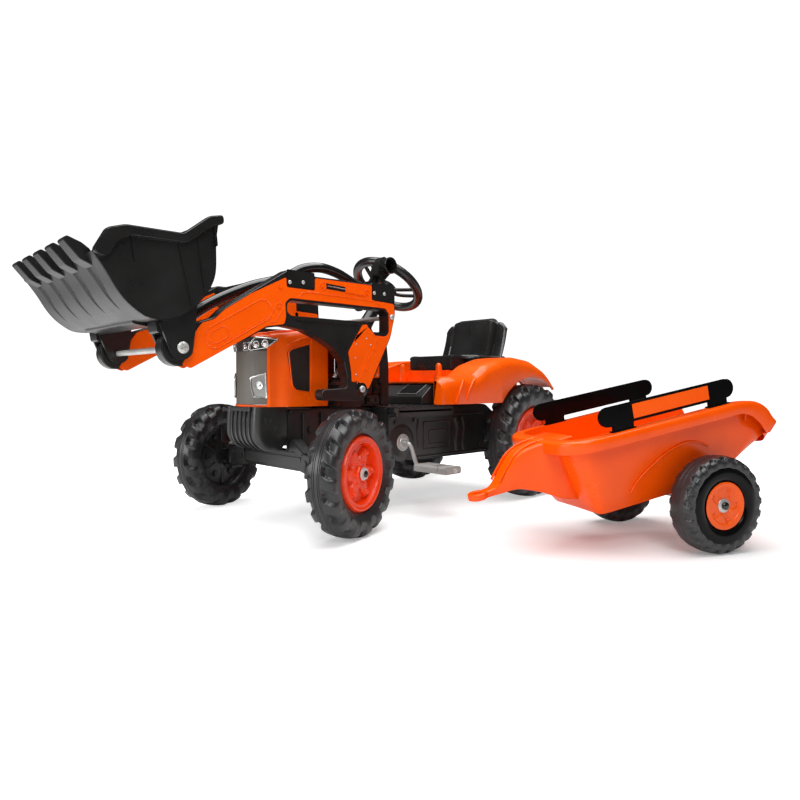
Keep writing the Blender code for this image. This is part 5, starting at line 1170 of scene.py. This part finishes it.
# ---------------------------------------------------------------- trailer
def trailer():
    rim = [(0, -0.234, 0.157), (0.045, -0.234, 0.157), (0.074, -0.23, 0.157), (0.089, -0.219, 0.157),
        (0.0965, -0.202, 0.157), (0.099, -0.165, 0.157), (0.1, -0.05, 0.157), (0.1, 0.05, 0.157),
        (0.1, 0.098, 0.1565), (0.1, 0.135, 0.149), (0.0995, 0.158, 0.13), (0.0985, 0.17, 0.104),
        (0.09, 0.174, 0.084), (0.045, 0.1755, 0.08), (0, 0.1755, 0.079)]
    floor = [(0, -0.192), (0.04, -0.192), (0.066, -0.191), (0.0745, -0.186), (0.0775, -0.176), (0.078, -0.15),
        (0.078, -0.05), (0.078, 0.02), (0.078, 0.04), (0.0778, 0.052), (0.0765, 0.058), (0.072, 0.0605),
        (0.05, 0.061), (0.025, 0.061), (0, 0.061)]
    rim_line = curve(rim, 6)
    floor_line = curve([(x, t, 0.0185) for x, t in floor], 6)
    rim_loop = rim_line + [Vector((-p.x, p.y, p.z)) for p in rim_line[-2:0:-1]]
    floor_loop = floor_line + [Vector((-p.x, p.y, p.z)) for p in floor_line[-2:0:-1]]

    def wall(inset):
        rows = []
        for step in range(13):
            s = step / 12
            row = []
            for low, high in zip(floor_loop, rim_loop):
                point = low.lerp(high, s)
                centre = Vector((0, max(-0.12, min(0.02, point.y)), point.z))
                out = (point - centre).normalized()
                belly = 0.003 * sin(pi * s) * (1 - step_up(0.1, 0.17, point.y))
                base = 0.004 * (1 - step_up(0.0, 0.1, s))
                row.append(point + out * (belly - base - inset) + Vector((0, 0, inset if step == 0 else 0)))
            rows.append(row)
        return rows

    outside, inside = wall(0.0), wall(0.0032)
    shape = grid(outside + inside[::-1], False, True)
    count = len(rim_loop)
    capped(shape, count)
    piece("tub_shell", shape, TUB_ORANGE, "trailer", PITCH, 40, ("trailer_tub",))
    section = [(-0.003, -0.004), (-0.003, -0.0006), (0.0, 0.0), (0.012, 0.0002), (0.017, -0.0008),
        (0.0192, -0.0028), (0.02, -0.006), (0.02, -0.019), (0.0192, -0.0205), (0.0172, -0.0205),
        (0.0166, -0.019), (0.0166, -0.0075), (0.0145, -0.0046), (0.006, -0.0036)]
    rows = []
    for index, point in enumerate(rim_loop):
        before, after = rim_loop[index - 1], rim_loop[(index + 1) % count]
        along = (after - before).normalized()
        out = along.cross(Vector((0, 0, 1)))
        if out.length < 0.2:
            out = Vector((point.x, 0, 0))
        out.z = 0
        out.normalize()
        if out.dot(point - Vector((0, -0.03, point.z))) < 0:
            out = -out
        rear = step_up(0.1, 0.165, point.y)
        deep = 1.0 + 0.55 * step_up(0.09, 0.15, point.y) * (1.0 - step_up(0.165, 0.176, point.y))
        up = (Vector((0, 0, 1)) * (1 - 0.55 * rear) + Vector((0, 1, 0)) * 0.55 * rear).normalized()
        shrink = 1.0 - 0.8 * step_up(0.15, 0.176, point.y) if abs(point.x) < 0.099 else 1.0
        rows.append([point + out * (a * shrink) + up * (b * deep) for a, b in section])
    piece("tub_flange", grid(rows, True, True), TUB_ORANGE, "trailer", PITCH, 50)
    extras = []
    for side in (1, -1):
        bulge = []
        for t, w in ((-0.131, 0.045), (-0.118, 0.062), (-0.086, 0.083), (-0.05, 0.1), (-0.012, 0.107),
                (0.018, 0.1), (0.036, 0.089)):
            half = 0.078 + 0.022 * (w - 0.0185) / 0.1385
            bulge.append((side * (half + 0.005 * sin(pi * (w - 0.0185) / 0.1385)), t, w))
        extras.append(tube(curve(bulge, 6), 0.0017, 10))
        for t in (-0.205, 0.118):
            half = 0.1 if t > 0 else 0.086
            extras.append(tube([(side * (half + 0.012), t, 0.15), (side * (half + 0.001), t, 0.118)], 0.0018,
                8))
        leg = sheet([(-0.022, 0.022), (-0.012, -0.006), (0.012, -0.006), (0.022, 0.022)], 0.003,
            *sorted((side * 0.055, side * 0.066)), 0.001)
        extras.append(leg)
    stations = [(-0.36, 0.0125, 0.08, 0.092), (-0.345, 0.013, 0.0805, 0.0945), (-0.33, 0.017, 0.0815, 0.106),
        (-0.315, 0.021, 0.083, 0.124), (-0.3, 0.0235, 0.082, 0.139), (-0.285, 0.026, 0.077, 0.1475),
        (-0.265, 0.032, 0.069, 0.152), (-0.245, 0.04, 0.058, 0.1545), (-0.225, 0.044, 0.048, 0.1555),
        (-0.2, 0.044, 0.042, 0.156)]
    lines = [curve([(t, v) for t, *rest in stations for v in [rest[k]]], 5) for k in range(3)]
    rows = []
    for a, b, c in zip(*lines):
        half, low, high = a.y, b.y, c.y
        r = 0.0035
        outline = []
        for cx, cz, start in ((half - r, high - r, 0), (-half + r, high - r, 90),
                (-half * 0.8 + r, low + r, 180), (half * 0.8 - r, low + r, 270)):
            outline += [(cx + r * cos(radians(start + d)), a.x, cz + r * sin(radians(start + d)))
                for d in (0, 30, 60, 90)]
        rows.append(outline)
    tongue = grid(rows, False, True)
    capped(tongue, 16)
    ring = turned([(0.0802, 0.0078), (0.0802, 0.0155), (0.0815, 0.017), (0.0905, 0.017), (0.092, 0.0155),
        (0.092, 0.009), (0.0912, 0.0078)], 40)
    moved(ring, at(0, -0.373, 0) @ spun(-90, "Y"))
    extras += [tongue, ring]
    groove = [tube(curve([(x, -0.336, 0.1035), (x, -0.318, 0.1235), (x, -0.3, 0.141), (x, -0.275, 0.1518),
        (x, -0.24, 0.1565)], 5), 0.0022, 10) for x in (-0.015, 0.015)]
    extras += groove
    piece("tub_details", joined(*extras), TUB_ORANGE, "trailer", PITCH, 40)
    for side in (1, -1):
        r = 0.0165
        board = arc((-0.1675, 0.184), r, 90, 270) + [(-0.16, 0.1675), (-0.16, 0.1575), (-0.12, 0.1575),
            (-0.118, 0.1675), (0.04, 0.1675), (0.04, 0.1575), (0.08, 0.1575),
            (0.08, 0.1675)] + arc((0.0815, 0.184), r, -90, 90)
        plank = slab(board, 0.0996, 0.106, 0.001)
        feet = [brick((0.096, -0.163, 0.1574), (0.109, -0.117, 0.1592), 0.0005, 0.002),
            brick((0.096, 0.037, 0.1574), (0.109, 0.083, 0.1592), 0.0005, 0.002)]
        piece("rail_board_" + label(side), joined(plank, *feet), WALL, "trailer", PITCH,
            instead=("trailer_rail_" + label(side),), side=side)
        sign = slab([(-0.118, 0.1725), (0.041, 0.1725), (0.041, 0.1965), (-0.118, 0.1965)], 0.1058, 0.1065,
            0.0)
        piece("rail_panel_" + label(side), sign, ORANGE, "trailer", PITCH, side=side)


# ---------------------------------------------------------------- what the CAD gives as it is
def dress():
    kept = {"axle_beam": BLACK, "knuckle_left": BLACK, "knuckle_right": BLACK, "stub_axle_left": ZINC,
        "stub_axle_right": ZINC, "tie_rod": ZINC, "drive_chain": ZINC, "rear_axle": ZINC,
        "rear_sprocket": ZINC, "crank_sprocket": ZINC, "trailer_axle": ZINC, "hitch_pin": ZINC}
    for name, surface in kept.items():
        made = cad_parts[name]
        for slot in made.material_slots:
            slot.material = surface


def light(name, place, aim, size, power, colour=(1, 1, 1)):
    lamp = bpy.data.lights.new(name, "AREA")
    lamp.shape = "RECTANGLE"
    lamp.size, lamp.size_y = size
    lamp.energy = power
    lamp.color = colour
    made = bpy.data.objects.new(name, lamp)
    bpy.context.collection.objects.link(made)
    made.location = place
    made.rotation_euler = (Vector(aim) - Vector(place)).to_track_quat("-Z", "Y").to_euler()


def pale_floor():
    """White floor that stays evenly bright away from the object, so only soft shadows show."""
    made = bpy.data.materials.new("pale_floor")
    made.use_nodes = True
    tree = made.node_tree
    shader = tree.nodes["Principled BSDF"]
    shader.inputs["Base Color"].default_value = (0.8, 0.8, 0.8, 1)
    shader.inputs["Roughness"].default_value = 0.7
    shader.inputs["Specular IOR Level"].default_value = 0.1
    shader.inputs["Emission Color"].default_value = (1, 1, 1, 1)
    place = tree.nodes.new("ShaderNodeTexCoord")
    away = tree.nodes.new("ShaderNodeVectorMath")
    away.operation = "LENGTH"
    glow = node(tree, "ShaderNodeMapRange")
    glow.inputs["From Min"].default_value = 0.25
    glow.inputs["From Max"].default_value = 1.3
    glow.inputs["To Min"].default_value = 0.16
    glow.inputs["To Max"].default_value = 1.05
    centre = tree.nodes.new("ShaderNodeVectorMath")
    centre.operation = "SUBTRACT"
    centre.inputs[1].default_value = (0.4, 0.02, 0.0)
    tree.links.new(place.outputs["Object"], centre.inputs[0])
    tree.links.new(centre.outputs["Vector"], away.inputs[0])
    tree.links.new(away.outputs["Value"], glow.inputs["Value"])
    seen = tree.nodes.new("ShaderNodeLightPath")
    share = node(tree, "ShaderNodeMapRange")
    share.inputs["To Min"].default_value = 0.12
    product = tree.nodes.new("ShaderNodeMath")
    product.operation = "MULTIPLY"
    tree.links.new(seen.outputs["Is Camera Ray"], share.inputs["Value"])
    tree.links.new(glow.outputs["Result"], product.inputs[0])
    tree.links.new(share.outputs["Result"], product.inputs[1])
    tree.links.new(product.outputs["Value"], shader.inputs["Emission Strength"])
    return made


def studio():
    shape = bmesh.new()
    corners = [shape.verts.new(p) for p in ((-12, -12, 0), (12, -12, 0), (12, 12, 0), (-12, 12, 0))]
    shape.faces.new(corners)
    mesh = bpy.data.meshes.new("studio_floor")
    shape.to_mesh(mesh)
    shape.free()
    floor = bpy.data.objects.new("studio_floor", mesh)
    bpy.context.collection.objects.link(floor)
    mesh.materials.append(pale_floor())
    world = bpy.data.worlds.new("studio")
    world.use_nodes = True
    tree = world.node_tree
    dim = tree.nodes["Background"]
    dim.inputs["Color"].default_value = (0.95, 0.97, 1.0, 1)
    dim.inputs["Strength"].default_value = 0.06
    white = node(tree, "ShaderNodeBackground", Strength=1.1, Color=(1, 1, 1, 1))
    seen = tree.nodes.new("ShaderNodeLightPath")
    mixed = tree.nodes.new("ShaderNodeMixShader")
    tree.links.new(seen.outputs["Is Camera Ray"], mixed.inputs["Fac"])
    tree.links.new(dim.outputs["Background"], mixed.inputs[1])
    tree.links.new(white.outputs["Background"], mixed.inputs[2])
    tree.links.new(mixed.outputs["Shader"], tree.nodes["World Output"].inputs["Surface"])
    bpy.context.scene.world = world
    light("overhead", (0.0, 0.0, 2.6), (0.0, 0.0, 0.2), (2.8, 2.8), 114.0)
    light("front_fill", (-0.9, -2.6, 0.9), (0, -0.2, 0.2), (1.6, 1.2), 34.0)
    light("camera_fill", (1.9, -1.7, 2.1), (0.1, 0, 0.2), (1.2, 1.2), 34.0)


def camera():
    data = bpy.data.cameras.new("camera")
    data.lens = 28.14
    data.sensor_width = 36.0
    data.clip_start = 0.02
    made = bpy.data.objects.new("camera", data)
    bpy.context.collection.objects.link(made)
    made.location = Vector((1.128, -0.739, 0.286)) + ROW
    made.rotation_euler = (radians(88.56), 0, radians(45.7))
    bpy.context.scene.camera = made
    bpy.context.scene.view_settings.view_transform = "Standard"


wheels()
arms()
bucket()
linkage()
steering()
hood()
grille()
weights()
front_axle()
column()
chassis()
crank()
rear_body()
seat()
trailer()
dress()
studio()
camera()
